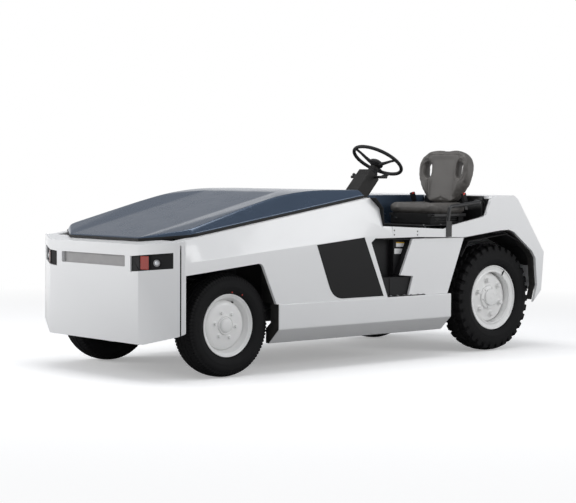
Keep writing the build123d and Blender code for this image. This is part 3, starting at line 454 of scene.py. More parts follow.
# Height over x and y: the lowest of the crest line, the panel's slope and the leaning side, front
# and back faces, on rows that crowd together at the bends.
def hoodSkin():
    h = hood
    reach = h["lip"] - h["rear"]
    turn = (h["half"] - h["lipHalf"]) / (h["lip"] - h["corner"])
    x = h["rear"] + reach * np.concatenate([
        np.linspace(0, 0.045, 22), np.linspace(0.051, 0.30, 36), np.linspace(0.307, 0.36, 14),
        np.linspace(0.369, 0.86, 64), np.linspace(0.865, 0.975, 36), np.linspace(0.978, 1.0, 16)])
    half = np.concatenate([
        np.linspace(0, 0.50, 12), np.linspace(0.515, 0.60, 14), np.linspace(0.62, 0.80, 10),
        np.linspace(0.812, 1.0, 34)])
    share = np.concatenate([-half[:0:-1], half])
    width = lowest([np.full_like(x, h["half"]), h["lipHalf"] + (h["lip"] - x) * turn], h["cornerRound"])
    slant = np.gradient(width, x)
    xGrid = np.repeat(x[:, None], len(share), 1)
    yGrid = width[:, None] * share[None]
    base = h["baseHeight"] + (h["noseX"] - xGrid) * h["baseSlope"]
    side = base + h["lean"] * (width[:, None] - np.abs(yGrid)) / np.sqrt(1 + slant[:, None] ** 2)
    # The crest climbs in a straight line, then bends level through one long arc.
    tilt = math.atan(h["crestSlope"])
    meet = h["lip"] - (h["crestTop"] - h["crestLow"]) / h["crestSlope"]
    tangent = h["crestArc"] * math.tan(tilt / 2)
    level = meet - tangent
    onArc = np.clip(xGrid - level, 0, h["crestArc"] * math.sin(tilt))
    arcDrop = h["crestArc"] - np.sqrt(h["crestArc"] ** 2 - onArc ** 2)
    line = h["crestLow"] + (h["lip"] - xGrid) * h["crestSlope"]
    crest = np.where(xGrid > meet + tangent * math.cos(tilt), line, h["crestTop"] - arcDrop)
    panel = h["panelLow"] + (h["lip"] - xGrid) * h["panelSlope"]
    past = (np.abs(yGrid) - h["panelHalf"]) / h["fold"]
    panel = panel + h["wingSlope"] * h["fold"] * np.logaddexp(0, past)
    top = lowest([crest, panel], h["crestRound"])
    front = base + h["lean"] * (h["lip"] - xGrid)
    back = base + h["lean"] * (xGrid - h["rear"])
    zGrid = lowest([side, top, front, back], h["round"])
    return Shape().grid(np.stack([xGrid, yGrid, zGrid], -1))


hoodPiece = piece("hood skin", hoodSkin(), "slate", "slate_paint", "hood", ["hood"], sharp=60)
middleFace = hoodPiece.data.polygons[len(hoodPiece.data.polygons) // 2]
if middleFace.normal.z < 0:
    hoodPiece.data.flip_normals()
wall = hoodPiece.modifiers.new("wall", "SOLIDIFY")
wall.thickness = hood["wall"]
wall.offset = -1
arms = Shape()
for y in (hood["armY"], -hood["armY"]):
    arms.prism(hood["arm"], y - hood["armHalf"], y + hood["armHalf"], "y")
piece("hood hinge arms", arms, "black", "black_paint", "hood", soft=0.001)
print("hood made")

# Dark panels on the body sides, one plain shape on each
decal = {
    "corners": [(0.538, 0.748), (0.146, 0.784), (-0.021, 0.420)], "heel": (0.405, 0.420), "round": 0.085,
    "low": 0.7002, "high": 0.7009,
}
front, top, foot = (np.array(corner) for corner in decal["corners"])
outline = [front, top, foot] + bend([foot, np.array(decal["heel"]), front], decal["round"], 9)[1:-1]
film = Shape().prism(outline, decal["low"], decal["high"], "y").both()
piece("side decals", film, "decal", "black_paint")

# Footwell sides: black pocket walls that step back, a step box and two blank plates
step = {
    "pocket": [
        (-0.057, 0.4125), (0.087, 0.751), (0.053, 0.770), (-0.281, 0.759), (-0.177, 0.540), (-0.288, 0.531),
        (-0.249, 0.4125)],
    "front": 0.590, "rear": 0.628, "split": -0.170, "splitTop": 0.7627, "floor": 0.4125, "sheet": 0.006,
    "outer": 0.6715, "outerFront": 0.6795, "tread": 0.5295,
    "boxFoot": (-0.2495, -0.0585), "boxTop": (-0.2865, -0.0105), "boxRear": (0.6285, 0.6700), "boxFront": 0.5905,
    "toePlate": [(-0.118, 0.414), (-0.100, 0.414), (-0.098, 0.527), (-0.122, 0.527)], "toeOut": 0.6735,
    "ribs": (-0.235, -0.185, -0.135, -0.085),
}
pocket = Shape()
splitLow, splitHigh = (step["split"], step["floor"]), (step["split"], step["splitTop"])
for outline, at in (([splitLow, *step["pocket"][:3], splitHigh], step["front"]),
                    ([splitHigh, *step["pocket"][3:], splitLow], step["rear"])):
    pocket.prism(outline, at - step["sheet"], at, "y")
pocket.box((step["split"] - step["sheet"], step["front"], step["floor"]), (step["split"], step["rear"], 0.762))
for i in range(6):
    start, end = (np.array(corner) for corner in step["pocket"][i:i + 2])
    normal = np.array([(end - start)[1], -(end - start)[0]]) / np.linalg.norm(end - start) * step["sheet"]
    inner = step["front" if i < 3 else "rear"] - step["sheet"]
    outer = step["outerFront" if i < 2 else "outer"]
    pocket.prism([start, end, end + normal, start + normal], inner, outer, "y")
piece("footwell sides", pocket.both(), "panelBlack", "black_plastic", soft=0.001)
stepBox = Shape()
footRear, footFront = step["boxFoot"]
topRear, topFront = step["boxTop"]
stepBox.prism([
    (footRear, step["floor"]), (footFront, step["floor"]), (topFront, step["tread"]), (topRear, step["tread"])],
    *step["boxRear"], "y")
stepBox.prism([
    (step["split"], step["floor"]), (footFront, step["floor"]), (topFront, step["tread"]),
    (step["split"], step["tread"])],
    step["boxFront"], step["boxRear"][0], "y")
stepBox.prism(step["toePlate"], step["boxRear"][1], step["toeOut"], "y")
for x in step["ribs"]:
    stepBox.box((x, 0.634, step["tread"]), (x + 0.03, 0.664, step["tread"] + 0.0015))
piece("step boxes", stepBox.both(), "panelBlack", "black_plastic", soft=0.002)
blank = {"rows": ((-0.198, 0.716, 0.745), (-0.183, 0.672, 0.705)), "long": 0.088, "drop": 0.003, "band": 0.007}
plates = Shape()
for x, low, high in blank["rows"]:
    rear = x - blank["long"]
    corners = [(x, low), (x, high), (rear, high - blank["drop"]), (rear, low - blank["drop"])]
    plates.prism(corners, 0.6282, 0.6290, "y")
x, low, high = blank["rows"][0]
rear, low = x - blank["long"], high - blank["band"]
corners = [(x, low), (x, high), (rear, high - blank["drop"]), (rear, low - blank["drop"])]
plates.prism(corners, 0.6291, 0.6294, "y", 1)
piece("blank plates", plates.both(), ("plate", "yellow"), "white_paint")
strips = {
    "low": (-0.395, 0.676, 0.4103), "high": (-0.060, 0.698, 0.4150),
    "clips": (-0.09, -0.15, -0.21, -0.27, -0.33, -0.38),
}
strip = Shape().box(strips["low"], strips["high"])
for x in strips["clips"]:
    strip.box((x - 0.006, 0.684, strips["high"][2]), (x + 0.006, 0.6985, 0.4195), 1)
piece("rocker strips", strip.both(), ("seal", "steel"), "seal_rubber", soft=0.0008)
print("footwell sides made")

# Wheels: rims with nuts and hubs, ribbed front tyres and lugged rear tyres
wheels = {  # edge: inset from the rim's lip and place along the axle; disc: radius and place
    "front": {
        "centre": (1.158, 0.0, 0.299), "face": 0.630, "rim": 0.182, "inner": 0.142, "tyre": 0.299, "half": 0.087,
        "nutRing": 0.0765, "nut": 0.0105, "nutBase": 0.029, "nutTop": 0.0135, "turn": 8.0, "well": .038,
        "edge": [
            (.032, -.052), (.020, -.038), (.018, -.014), (.002, -.007), (0, -.003), (.002, 0.0), (.006, -.0008),
            (.013, -.009), (.0215, -.0125), (.024, -.020), (.0255, -.036), (.036, -.050), (.038, -.075)],
        "disc": [
            (.1455, -.070), (.1455, -.058), (.1425, -.047), (.137, -.038), (.129, -.032), (.118, -.0295),
            (.100, -.028), (.058, -.0275), (.0555, -.027), (.0535, -.021), (.0515, -.0195), (.0495, -.0205),
            (.0470, -.0235), (.0445, -.0235), (.0430, -.019), (.0410, -.0145), (.0360, -.0110),
            (.0260, -.0088), (.0120, -.0080), (0, -.0079), (0, -.020), (.036, -.030), (.100, -.037),
            (.128, -.041), (.138, -.055), (.140, -.070)]},
    "rear": {
        "centre": (-1.142, 0.0, 0.354), "face": 0.606, "rim": 0.214, "inner": 0.150, "tyre": 0.354, "half": 0.093,
        "nutRing": 0.114, "nut": 0.0165, "nutBase": 0.045, "nutTop": 0.018, "turn": 20.0, "well": .040,
        "hubBolt": (0.0655, 0.0062, 0.033, 0.0225), "split": 122.0,
        "edge": [
            (.032, -.052), (.020, -.038), (.018, -.016), (.002, -.008), (0, -.004), (.002, 0.0), (.007, -.001),
            (.011, -.0075), (.030, -.0115), (.034, -.0095), (.042, -.0085), (.046, -.012), (.047, -.030),
            (.046, -.080)],
        "disc": [
            (.1665, -.085), (.1650, -.068), (.1600, -.056), (.152, -.049), (.140, -.0455), (.084, -.0445),
            (.081, -.043), (.079, -.034), (.076, -.0315), (.062, -.0305), (.0555, -.029), (.0545, -.019),
            (.0520, -.0160), (.0300, -.0140), (.0285, -.0155), (.0085, -.0150), (.0080, -.0135), (0, -.0130),
            (0, -.030), (.06, -.044), (.140, -.054), (.155, -.066), (.160, -.085)]},
}


def nut(shape, centre, angle, ring, size, base, top, sides=6):  # chamfered prism standing on the disc
    at = (centre[0] + ring * math.cos(angle), centre[1], centre[2] + ring * math.sin(angle))
    profile = [(0.0, -base), (size, -base), (size, -top - size * 0.35), (size * 0.8, -top - size * 0.1), (0.0, -top)]
    shape.turned(profile, at, sides)


# Rim and disc: two closed sections turned round the axle, with nuts on a ring.
def rimShape(end):
    w = wheels[end]
    lip, face, deep = w["rim"], w["face"], w["inner"]
    cx, cz = w["centre"][0], w["centre"][2]
    at = (cx, face, cz)
    inward = [(0, 0), (0, .007), (.016, .014), (.020, .038), (.032, .052)]
    outward = [(w["well"], .056), (.027, .042), (.024, .014), (.007, 0)]
    barrel = [(lip - inset, rise - deep) for inset, rise in inward]
    barrel += [(lip - inset, along) for inset, along in w["edge"]]
    barrel += [(lip - inset, rise - deep) for inset, rise in outward]
    rim = Shape().turned(barrel, at, 96, closed=True).turned(w["disc"], at, 72, closed=True)
    for i in range(6):
        angle = math.radians(w["turn"] + 60 * i)
        nut(rim, at, angle, w["nutRing"], w["nut"], w["nutBase"], w["nutTop"])
        wide, base = w["nut"] * 1.45, -w["nutBase"]
        washer = [(wide, base - .002), (wide, base + .0015), (w["nut"] * 1.1, base + .003), (0, base + .003)]
        place = (cx + w["nutRing"] * math.cos(angle), face, cz + w["nutRing"] * math.sin(angle))
        rim.turned(washer, place, 20)
        if end == "rear":
            nut(rim, at, angle + 0.5, *w["hubBolt"], 12)
    if end == "front":
        valve = [(0, 0.0), (.0042, 0.0), (.0042, .016), (.003, .018), (0, .018)]
        rim.turned(valve, (cx - .062, face - .052, cz + .128), 12, 1)
    else:
        split = math.radians(w["split"])  # gap of the split ring
        across = np.array([-math.sin(split), math.cos(split)]) * 0.0013
        ends = [np.array([cx + r * math.cos(split), cz + r * math.sin(split)]) for r in (0.1685, 0.2115)]
        gap = [ends[0] - across, ends[1] - across, ends[1] + across, ends[0] + across]
        # The gap is a black sliver set into the ring's face: painted shade where the open slot would be dark.
        rim.prism(gap, face - .012, face - .0003, "y", 1)
    return rim


# Closed ring: a section from bead over sidewall, tread and sidewall to bead, turned round the
# axle, with the radius at each point lowered by the tread pattern's depth there.
def tyreShape(end):
    w = wheels[end]
    seatRadius, treadRadius, half = w["rim"], w["tyre"], w["half"]
    middle = w["face"] - w["inner"] / 2
    wall = [
        (seatRadius - .0175, .050), (seatRadius - .004, .0555), (seatRadius + .006, half - .016),
        (seatRadius + .014, half - .009), (seatRadius + .024, half - .0045), (seatRadius + .036, half - .002),
        (seatRadius + .042, half - .0002), (seatRadius + .045, half - .0002), (seatRadius + .051, half - .0012)]
    outer = treadRadius - .0235
    climb = np.linspace(seatRadius + .058, outer - .004, 9)
    bulge = [(r, half - .0010 - .0085 * share ** 2.2) for r, share in zip(climb, np.linspace(0, 1, 9))]
    crownHalf = half - .0125
    crown = [(treadRadius - .0135 * abs(a) ** 2.6, crownHalf * a) for a in np.linspace(1, -1, 41)]
    shoulder = [(outer + .006, half - .0105), (outer + .0085, half - .0115)]
    flank = wall + bulge + shoulder
    section = np.array(flank + crown + [(r, -y) for r, y in reversed(flank)] + [(seatRadius - .0175, 0.0)])
    steps = 528 if end == "front" else 512  # whole steps for each sipe and lug
    theta = np.linspace(0, 2 * math.pi, steps, endpoint=False)
    r = np.repeat(section[:, :1], steps, 1)
    y = np.repeat(section[:, 1:], steps, 1)
    a = y / half
    tread = step01(r, outer - .016, outer + .006)
    if end == "front":
        # Shoulder sipes every 4 degrees, and three grooves round the tyre.
        wave = np.abs((theta * 88 / (2 * math.pi) + np.sign(a) * 0.25) % 1 - 0.5) * 2
        sipe = step01(wave, 0.60, 0.78) * step01(np.abs(a), 0.52, 0.66)
        weave = y + .0015 * np.sin(theta * 44)
        groove = sum(1 - step01(np.abs(weave - at), .0022, .0042) for at in (-.030, 0.0, .030))
        depth = tread * np.maximum(sipe * 0.0055, groove * 0.008)
    else:
        # Thirty-two lugs on each side, half a pitch apart, with a broken rib between them.
        phase = (theta * 32 / (2 * math.pi) + np.where(a > 0, 0.0, 0.5) + 0.25 * np.abs(a)) % 1
        wave = np.abs(phase - 0.5) * 2
        gap = step01(wave, 0.56, 0.68) * step01(np.abs(a), 0.16, 0.24)
        rib = (1 - step01(np.abs(np.abs(a) - 0.42 - .05 * np.sin(theta * 32)), .03, .06)) * 0.7
        depth = tread * np.maximum(gap, rib) * 0.0135
        depth = depth + step01(r, outer - .045, outer - .010) * step01(wave, 0.56, 0.68) * (np.abs(a) > .8) * 0.004
    ring = r - depth
    inward = np.where(np.abs(a) > .8, depth * 0.35 * np.sign(a), 0)
    x, z = w["centre"][0] + ring * np.cos(theta), w["centre"][2] + ring * np.sin(theta)
    points = np.stack([x, middle + y - inward, z], -1)
    return Shape().grid(points, wrapRows=True, wrapCols=True)


for end in ("front", "rear"):
    bothWheels(end, rimShape(end), "rim", ("rim", "seal"), "rim_paint", replaces="rim_" + end + "_{}", sharp=32)
    bothWheels(end, tyreShape(end), "tyre", "tyre", "tyre", replaces="tyre_" + end + "_{}", sharp=38)
dots = Shape()
dot = {
    "profile": [(0, -.0005), (.0042, -.0005), (.0042, .0006), (0, .0006)], "y": 0.6452,
    "places": ((1.143, 0.490), (1.068, 0.472)),
}
for x, z in dot["places"]:
    dots.turned(dot["profile"], (x, dot["y"], z), 12)
piece("tyre balance dots", dots, "red", "turn_lens", "wheel_front_left")
print("wheels made")

# Seat: swollen pads on the CAD forms, then seams and hollows pressed into them
seat = {
    "y": 0.380, "backFoot": (-0.841, 0.380, 0.985), "tilt": 8.0, "backThick": 0.076,
    "slot": (0.150, 0.222, 0.112, 0.056),  # aside, up the back, tall, wide
    "back": [
        (-.108, .004), (-.160, .060), (-.210, .130), (-.226, .200), (-.224, .255), (-.200, .305), (-.150, .340),
        (-.095, .350)],
    "cushion": [(-.914, .170), (-.560, .170), (-.560, .590), (-.914, .590)], "cushionHeight": (0.926, 0.974),
    "voxel": 0.005, "calm": 14, "swell": 4.0, "cap": 0.012,
}
seat["back"] += [(-across, up) for across, up in reversed(seat["back"])]
tilt = math.radians(seat["tilt"])
backUp = np.array((-math.sin(tilt), 0, math.cos(tilt)))
backOut = np.array((math.cos(tilt), 0, math.sin(tilt)))
backFrame = Matrix((backOut, (0, 1, 0), backUp)).transposed().to_4x4()
backFrame.translation = seat["backFoot"]


def coords(made, values=None):
    flat = np.empty(len(made.data.vertices) * 3)
    if values is None:
        made.data.vertices.foreach_get("co", flat)
        return flat.reshape(-1, 3)
    made.data.vertices.foreach_set("co", values.ravel())
    made.data.update()


# Voxel skin, swollen by cloth pressure with no vertex moved past the cap, calmed, then subdivided.
def stuffed(made, cap):
    modified(made, "REMESH", mode="VOXEL", voxel_size=seat["voxel"])
    modified(made, "SMOOTH", factor=0.5, iterations=6)
    before = coords(made)
    cloth = made.modifiers.new("swell", "CLOTH")
    cloth.settings.use_pressure = True
    cloth.settings.uniform_pressure_force = seat["swell"]
    cloth.settings.effector_weights.gravity = 0
    cloth.point_cache.frame_end = 20
    for moment in range(1, 21):
        bpy.context.scene.frame_set(moment)
    swollen = bpy.data.meshes.new_from_object(made.evaluated_get(bpy.context.evaluated_depsgraph_get()))
    after = np.empty(len(swollen.vertices) * 3)
    swollen.vertices.foreach_get("co", after)
    move = after.reshape(-1, 3) - before
    reach = np.linalg.norm(move, axis=1)[:, None]
    made.modifiers.remove(cloth)
    coords(made, before + move * np.minimum(1, cap / np.maximum(reach, 1e-9)))
    bpy.context.scene.frame_set(1)
    modified(made, "SMOOTH", factor=0.5, iterations=seat["calm"])
    modified(made, "SUBSURF", levels=1, render_levels=1)
    made.data.polygons.foreach_set("use_smooth", [True] * len(made.data.polygons))
    return made


back = Shape().prism(rounded(seat["back"], 0.03, 4), -seat["backThick"] - 0.004, -0.006, "x")
back.moved(backFrame)
backPad = piece("seat back pad", back, "vinyl", "vinyl", "body", ["seat_back"])
slotY, slotZ, slotTall, slotWide = seat["slot"]
for side in (-1, 1):
    turn = np.linspace(0, 2 * math.pi, 24, endpoint=False) + 0.13
    up = slotZ + (slotTall - slotWide) / 2 * np.sign(np.sin(turn)) + slotWide / 2 * np.sin(turn)
    ring = np.stack([side * slotY + slotWide / 2 * np.cos(turn), up], -1)
    cutter = linkNew("slot cutter", bpy.data.meshes.new("slot cutter"))
    tool = Shape().prism(ring, -0.2, 0.2, "x").moved(backFrame)
    cutter.data.from_pydata(tool.corners, [], tool.faces)
    cutter.data.update()
    modified(backPad, "BOOLEAN", object=cutter, operation="DIFFERENCE", solver="EXACT")
    bpy.data.objects.remove(cutter)
stuffed(backPad, seat["cap"])


def groove(distance, depth):  # sewn line: a narrow bell across its distance
    return depth * np.exp(-(distance / 0.0028) ** 2)


# The front of the back is hollow in the middle, sewn along both wings and raised round each slot.
points = coords(backPad)
local = points - np.array(seat["backFoot"])
aside, up = np.abs(local[:, 1]), local @ backUp
facing = step01(local @ backOut, -0.045, -0.012)
hollow = 0.022 * (1 - step01(aside, 0.085, 0.150)) * step01(up, -0.01, 0.05) * (1 - 0.7 * step01(up, 0.27, 0.36))
seamAt = 0.108 + 0.03 * up / 0.36
seam = groove(aside - seamAt, 0.0035) * (up < 0.325) + groove(up - 0.318, 0.003) * (aside < seamAt)
lip = 0.004 * np.exp(-((np.hypot((aside - slotY) / 0.6, up - slotZ) - 0.075) / 0.008) ** 2)
coords(backPad, points - (facing * (hollow + seam - lip))[:, None] * backOut)

# The cushion dips under the thighs and is sewn along both sides and across its front.
cushion = Shape().prism(rounded(seat["cushion"], 0.07, 6), *seat["cushionHeight"], "z")
cushionPad = piece("seat cushion pad", cushion, "vinyl", "vinyl", "body", ["seat_cushion"])
stuffed(cushionPad, seat["cap"])
points = coords(cushionPad)
x, aside = points[:, 0], np.abs(points[:, 1] - seat["y"])
dip = 0.012 * (1 - step01(aside, 0.07, 0.16)) * step01(-x, 0.54, 0.62) + 0.010 * step01(x, -0.60, -0.55)
seam = groove(aside - 0.115 - 0.05 * step01(x, -0.80, -0.56), 0.003) + groove(x + 0.605, 0.003) * (aside < 0.165)
points[:, 2] -= step01(points[:, 2], 0.945, 0.972) * (dip + seam)
coords(cushionPad, points)
softened("seat_suspension", 0.006, 4, "plastic")
softened("column_cover", 0.007, 4, "cover")
print("seat made")

# Seat fittings: slide rails, bellows, levers, belt stalks and buckles
seatParts = {
    "rails": (0.205, 0.555), "bellows": (0.862, 0.874, 0.886), "belts": (0.158, 0.618),
    "fold": [(-.880, .215), (-.590, .215), (-.590, .545), (-.880, .545)],
    "slideLever": [(-.60, .535, .905), (-.575, .60, .905), (-.545, .612, .912)],
    "weightLever": [(-.60, .25, .885), (-.555, .25, .885), (-.535, .30, .885)],
    "stalk": [(-.868, .940), (-.842, .940), (-.822, 1.000), (-.848, 1.004)],
    "buckle": [(-.858, .992), (-.826, .992), (-.806, 1.044), (-.838, 1.052)],
    "button": [(-.834, 1.040), (-.812, 1.034), (-.810, 1.044), (-.832, 1.051)],
    "frontStuds": ((.60, .822), (.45, .822), (.30, .822), (.17, .822), (.60, .60), (.17, .60)),
    "topStuds": (-.46, -.62, -.90), "studFront": -.4385,
}
fittings = Shape()
for y in seatParts["rails"]:
    fittings.box((-0.905, y - 0.016, 0.896), (-0.575, y + 0.016, 0.914))
for level in seatParts["bellows"]:
    fittings.prism(rounded(seatParts["fold"], 0.03), level - 0.004, level + 0.004, "z")
fittings.tube(bend(seatParts["slideLever"], 0.03), 0.006)
fittings.tube(bend(seatParts["weightLever"], 0.03), 0.005)
for y in seatParts["belts"]:
    fittings.prism(seatParts["stalk"], y - 0.003, y + 0.003, "y")
piece("seat fittings", fittings, "black", "black_paint", soft=0.0015)
buckles = Shape()
for y in seatParts["belts"]:
    buckles.prism(seatParts["buckle"], y - 0.010, y + 0.010, "y")
    buckles.prism(seatParts["button"], y - 0.0102, y + 0.0102, "y", 1)
piece("belt buckles", buckles, ("plastic", "red"), "black_plastic", soft=0.002)
studs = Shape()
domed = [(0, 0), (.008, 0), (.008, .003), (.005, .0055), (0, .006)]
for y, z in seatParts["frontStuds"]:
    studs.turned(domed, (seatParts["studFront"], y, z), 12, axis="x")
for x in seatParts["topStuds"]:
    studs.turned([(0, 0), (.006, 0), (.006, .003), (0, .005)], (x, .612, .8462), 12, axis="z")
piece("seat box studs", studs, "steel", "bare_steel")

# Steering wheel: padded rim with finger waves, three spokes and a domed hub
wheel = {
    "centre": (-0.275, 0.380, 1.256), "rake": 32.0, "ring": 0.1625, "tube": 0.0112, "waves": 36,
    "spokes": (90, 210, 330), "screws": (30, 150, 270), "screwRing": 0.037,
    "spoke": ((.020, -.030), (.045, -.029), (.080, -.020), (.120, -.008), (.158, 0.0)),  # out, up
    "spokeRadius": (.013, .012, .0095, .008, .008),
    "hub": [
        (0, -.043), (.030, -.043), (.036, -.036), (.045, -.032), (.047, -.024), (.043, -.014), (.034, -.008),
        (.018, -.0045), (0, -.004)],
    "screw": [(0, -.010), (.0045, -.010), (.004, -.0075), (0, -.007)],
}
rake = math.radians(wheel["rake"])
rakeRows = ((math.cos(rake), 0, -math.sin(rake)), (0, 1, 0), (math.sin(rake), 0, math.cos(rake)))
wheelFrame = Matrix(rakeRows).to_4x4()
wheelFrame.translation = wheel["centre"]
around = np.linspace(0, 2 * math.pi, 144, endpoint=False)
section = np.linspace(0, 2 * math.pi, 20, endpoint=False)
# Ring: a circle turned round the column, thinner under each finger wave.
dent = np.maximum(0, np.cos(around * wheel["waves"]))[:, None] * (np.sin(section) < -0.2)[None]
tube = wheel["tube"] * (1 - 0.055 * dent)
reach = wheel["ring"] + tube * np.cos(section)
ring = np.stack([reach * np.cos(around)[:, None], reach * np.sin(around)[:, None], tube * np.sin(section)], -1)
steering = Shape().grid(ring, wrapRows=True, wrapCols=True)
for angle in np.radians(wheel["spokes"]):
    path = [(out * math.cos(angle), out * math.sin(angle), up) for out, up in wheel["spoke"]]
    steering.tube(path, np.array(wheel["spokeRadius"]), 14)
steering.turned(wheel["hub"], (0, 0, 0), 40, axis="z")
for angle in np.radians(wheel["screws"]):
    at = (wheel["screwRing"] * math.cos(angle), wheel["screwRing"] * math.sin(angle), -.003)
    steering.turned(wheel["screw"], at, 10, axis="z")
steering.moved(wheelFrame)
piece("steering wheel grip", steering, "grip", "black_plastic", "steering_wheel", ["steering_wheel"], sharp=50)

# Column: boot below the hub, lever knobs and a switch cluster
columnParts = {
    "boot": [
        (0, -.125), (.040, -.125), (.042, -.110), (.036, -.100), (.038, -.092), (.032, -.082), (.034, -.074),
        (.027, -.062), (.018, -.056), (0, -.056)],
    "levers": ((.487, .03), (.273, -.03)), "leverRadius": (.0075, .0095, .0105),  # y, sideways lean
    "switches": ((-.150, .325, 1.085), (-.120, .435, 1.120)),
}
column = Shape().turned(columnParts["boot"], (0, 0, 0), 32, axis="z").moved(wheelFrame)
for y, lean in columnParts["levers"]:
    path = [(-.198, y, 1.150), (-.204, y + lean * .6, 1.156), (-.212, y + lean * 1.6, 1.166)]
    column.tube(path, np.array(columnParts["leverRadius"]), 14)
column.box(*columnParts["switches"])
piece("column fittings", column, "plastic", "black_plastic", soft=0.0015)
print("steering made")

# Wheel arches: rubber flap and slanted liner behind each front wheel, rear lip
arch = {
    "flap": [(.636, .409), (.704, .409), (.704, .262), (.617, .176), (.594, .176), (.594, .262), (.636, .300)],
    "flapX": (0.8395, 0.8435), "linerZ": (0.412, 0.655),
    "liner": [(.858, .679), (.852, .679), (.792, .500), (.798, .500)],
    "lipOuter": [
        (-.756, .764), (-1.095, .801), (-1.184, .804), (-1.233, .788), (-1.419, .657), (-1.456, .610),
        (-1.476, .428), (-1.447, .330)],
    "lipInner": [
        (-.752, .758), (-1.094, .795), (-1.181, .798), (-1.231, .783), (-1.414, .654), (-1.450, .609),
        (-1.470, .430), (-1.442, .333)],
    "lipY": (0.634, 0.6795),
}
flaps = Shape().prism(arch["flap"], *arch["flapX"], "x").prism(arch["liner"], *arch["linerZ"], "z")
piece("front arch flaps", flaps.both(), "arch", "seal_rubber", soft=0.0008)
rearLip = Shape().prism(arch["lipOuter"] + arch["lipInner"][::-1], *arch["lipY"], "y").both()
piece("rear arch lips", rearLip, "arch", "seal_rubber", soft=0.0008)

# Lamps: bezel and domed glass round each small lamp, ribs on the turn lens
lamp = {
    "corner": (1.66, 0.444, 0.0), "along": (-0.4610, 0.8874, 0.0), "out": (0.8874, 0.4610, 0.0), "sunk": 0.0087,
    "at": (.112, 0, .667),
    "bezel": [(.0135, 0), (.0205, 0), (.0205, .003), (.0175, .0062), (.0140, .0058), (.0133, .002)],
    "glass": [(0, .0005), (.0131, .0005), (.0128, .0030), (.0105, .0058), (.0060, .0074), (0, .0080)],
    "bars": ((.0075, .0105), (.0655, .0685)), "barHeight": (.626, .709),
}
lampFrame = Matrix((lamp["along"], lamp["out"], (0, 0, 1))).transposed().to_4x4()
lampFrame.translation = np.array(lamp["corner"]) - np.array(lamp["out"]) * lamp["sunk"]
bezels = Shape().turned(lamp["bezel"], lamp["at"], 32, closed=True).moved(lampFrame).both()
piece("lamp bezels", bezels, "steel", "bare_steel")
glass = Shape().turned(lamp["glass"], lamp["at"], 32).moved(lampFrame).both()
piece("lamp glasses", glass, "clear", "clear_lens", "body", ["marker_lamps"])
frames = Shape()
for near, far in lamp["bars"]:
    frames.box((near, 0, lamp["barHeight"][0]), (far, .0075, lamp["barHeight"][1]))
piece("turn lens frames", frames.moved(lampFrame).both(), "plastic", "black_plastic", soft=0.0008)

# Cheek strips and handle beside the cowl, and a yellow knob
cowl = {
    "cheek": [
        (-.0095, .960), (.0545, 1.0215), (.0500, 1.0250), (-.0145, .9615), (-.0245, .8500), (-.0200, .8490)],
    "cheekY": (0.640, 0.6995),
    "handle": [(.010, .60, 1.006), (.004, .60, 1.022), (.004, .52, 1.022), (.010, .52, 1.006)],
    "knob": [(0, 0), (.009, 0), (.009, .006), (.006, .009), (0, .010)], "knobAt": (.022, .560, 1.0050),
}
cheeks = Shape().prism(cowl["cheek"], *cowl["cheekY"], "y").both()
cheeks.tube(bend(cowl["handle"], 0.012), 0.005)
piece("cheek strips", cheeks, "plastic", "black_plastic", soft=0.0015)
knob = Shape().turned(cowl["knob"], cowl["knobAt"], 16, axis="z")
piece("yellow knob", knob, "yellow", "black_plastic")

# Fasteners along the covers and the hitch
fasteners = {
    "side": ((-.110, .822), (-.110, .795), (-.315, .812), (-.315, .790)), "sideY": .7000,
    "sideHead": [(0, 0), (.0045, 0), (.0045, .0012), (.003, .0020), (0, .0020)],
    "hitchY": (-.115, .115), "hitchZ": (.300, .398, .496), "hitchX": -1.5243,
    "hitchHead": [(0, 0), (.013, 0), (.013, -.009), (.010, -.011), (0, -.011)],
}
bolts = Shape()
for x, z in fasteners["side"]:
    bolts.turned(fasteners["sideHead"], (x, fasteners["sideY"], z), 12)
piece("side bolts", bolts, "plastic", "black_plastic")
hitchBolts = Shape()
for y in fasteners["hitchY"]:
    for z in fasteners["hitchZ"]:
        hitchBolts.turned(fasteners["hitchHead"], (fasteners["hitchX"], y, z), 6, axis="x")
piece("hitch bolts", hitchBolts, "steel", "bare_steel", soft=0.0006)
print("fittings made")

# Studio: pale floor, white surround, soft lamps and the photograph's viewpoint
studio = {
    "floorHalf": 40.0, "floorShade": 0.95, "floorBounce": 0.32, "floorLift": 0.30, "floorFade": (2.2, 6.5),
    "horizonShade": (0.98, 0.985, 1.0), "skyShade": (0.31, 0.32, 0.34), "whiteShade": (1.0, 1.0, 1.0),
    "horizonBand": (0.05, 0.36),
    "lamps": [  # name, place, aim, width, height, watts
        ("top softbox", (0.6, 0.2, 5.0), (0.0, 0.0, 0.6), 5.0, 2.6, 130.0),
        ("front softbox", (5.8, -4.2, 2.2), (1.2, 0.0, 0.5), 2.8, 2.2, 165.0),
        ("side softbox", (-3.4, 6.6, 3.0), (-0.4, 0.6, 0.6), 3.6, 2.2, 120.0),
    ],
    "eye": (7.1383, 7.8959, 1.1812), "yaw": -131.52, "pitch": -2.773, "roll": 0.344, "lens": 103.09,
}


def seenDirectly(tree):  # 1 for camera rays, 0 for light that bounces or is mirrored
    return tree.nodes.new("ShaderNodeLightPath").outputs["Is Camera Ray"]


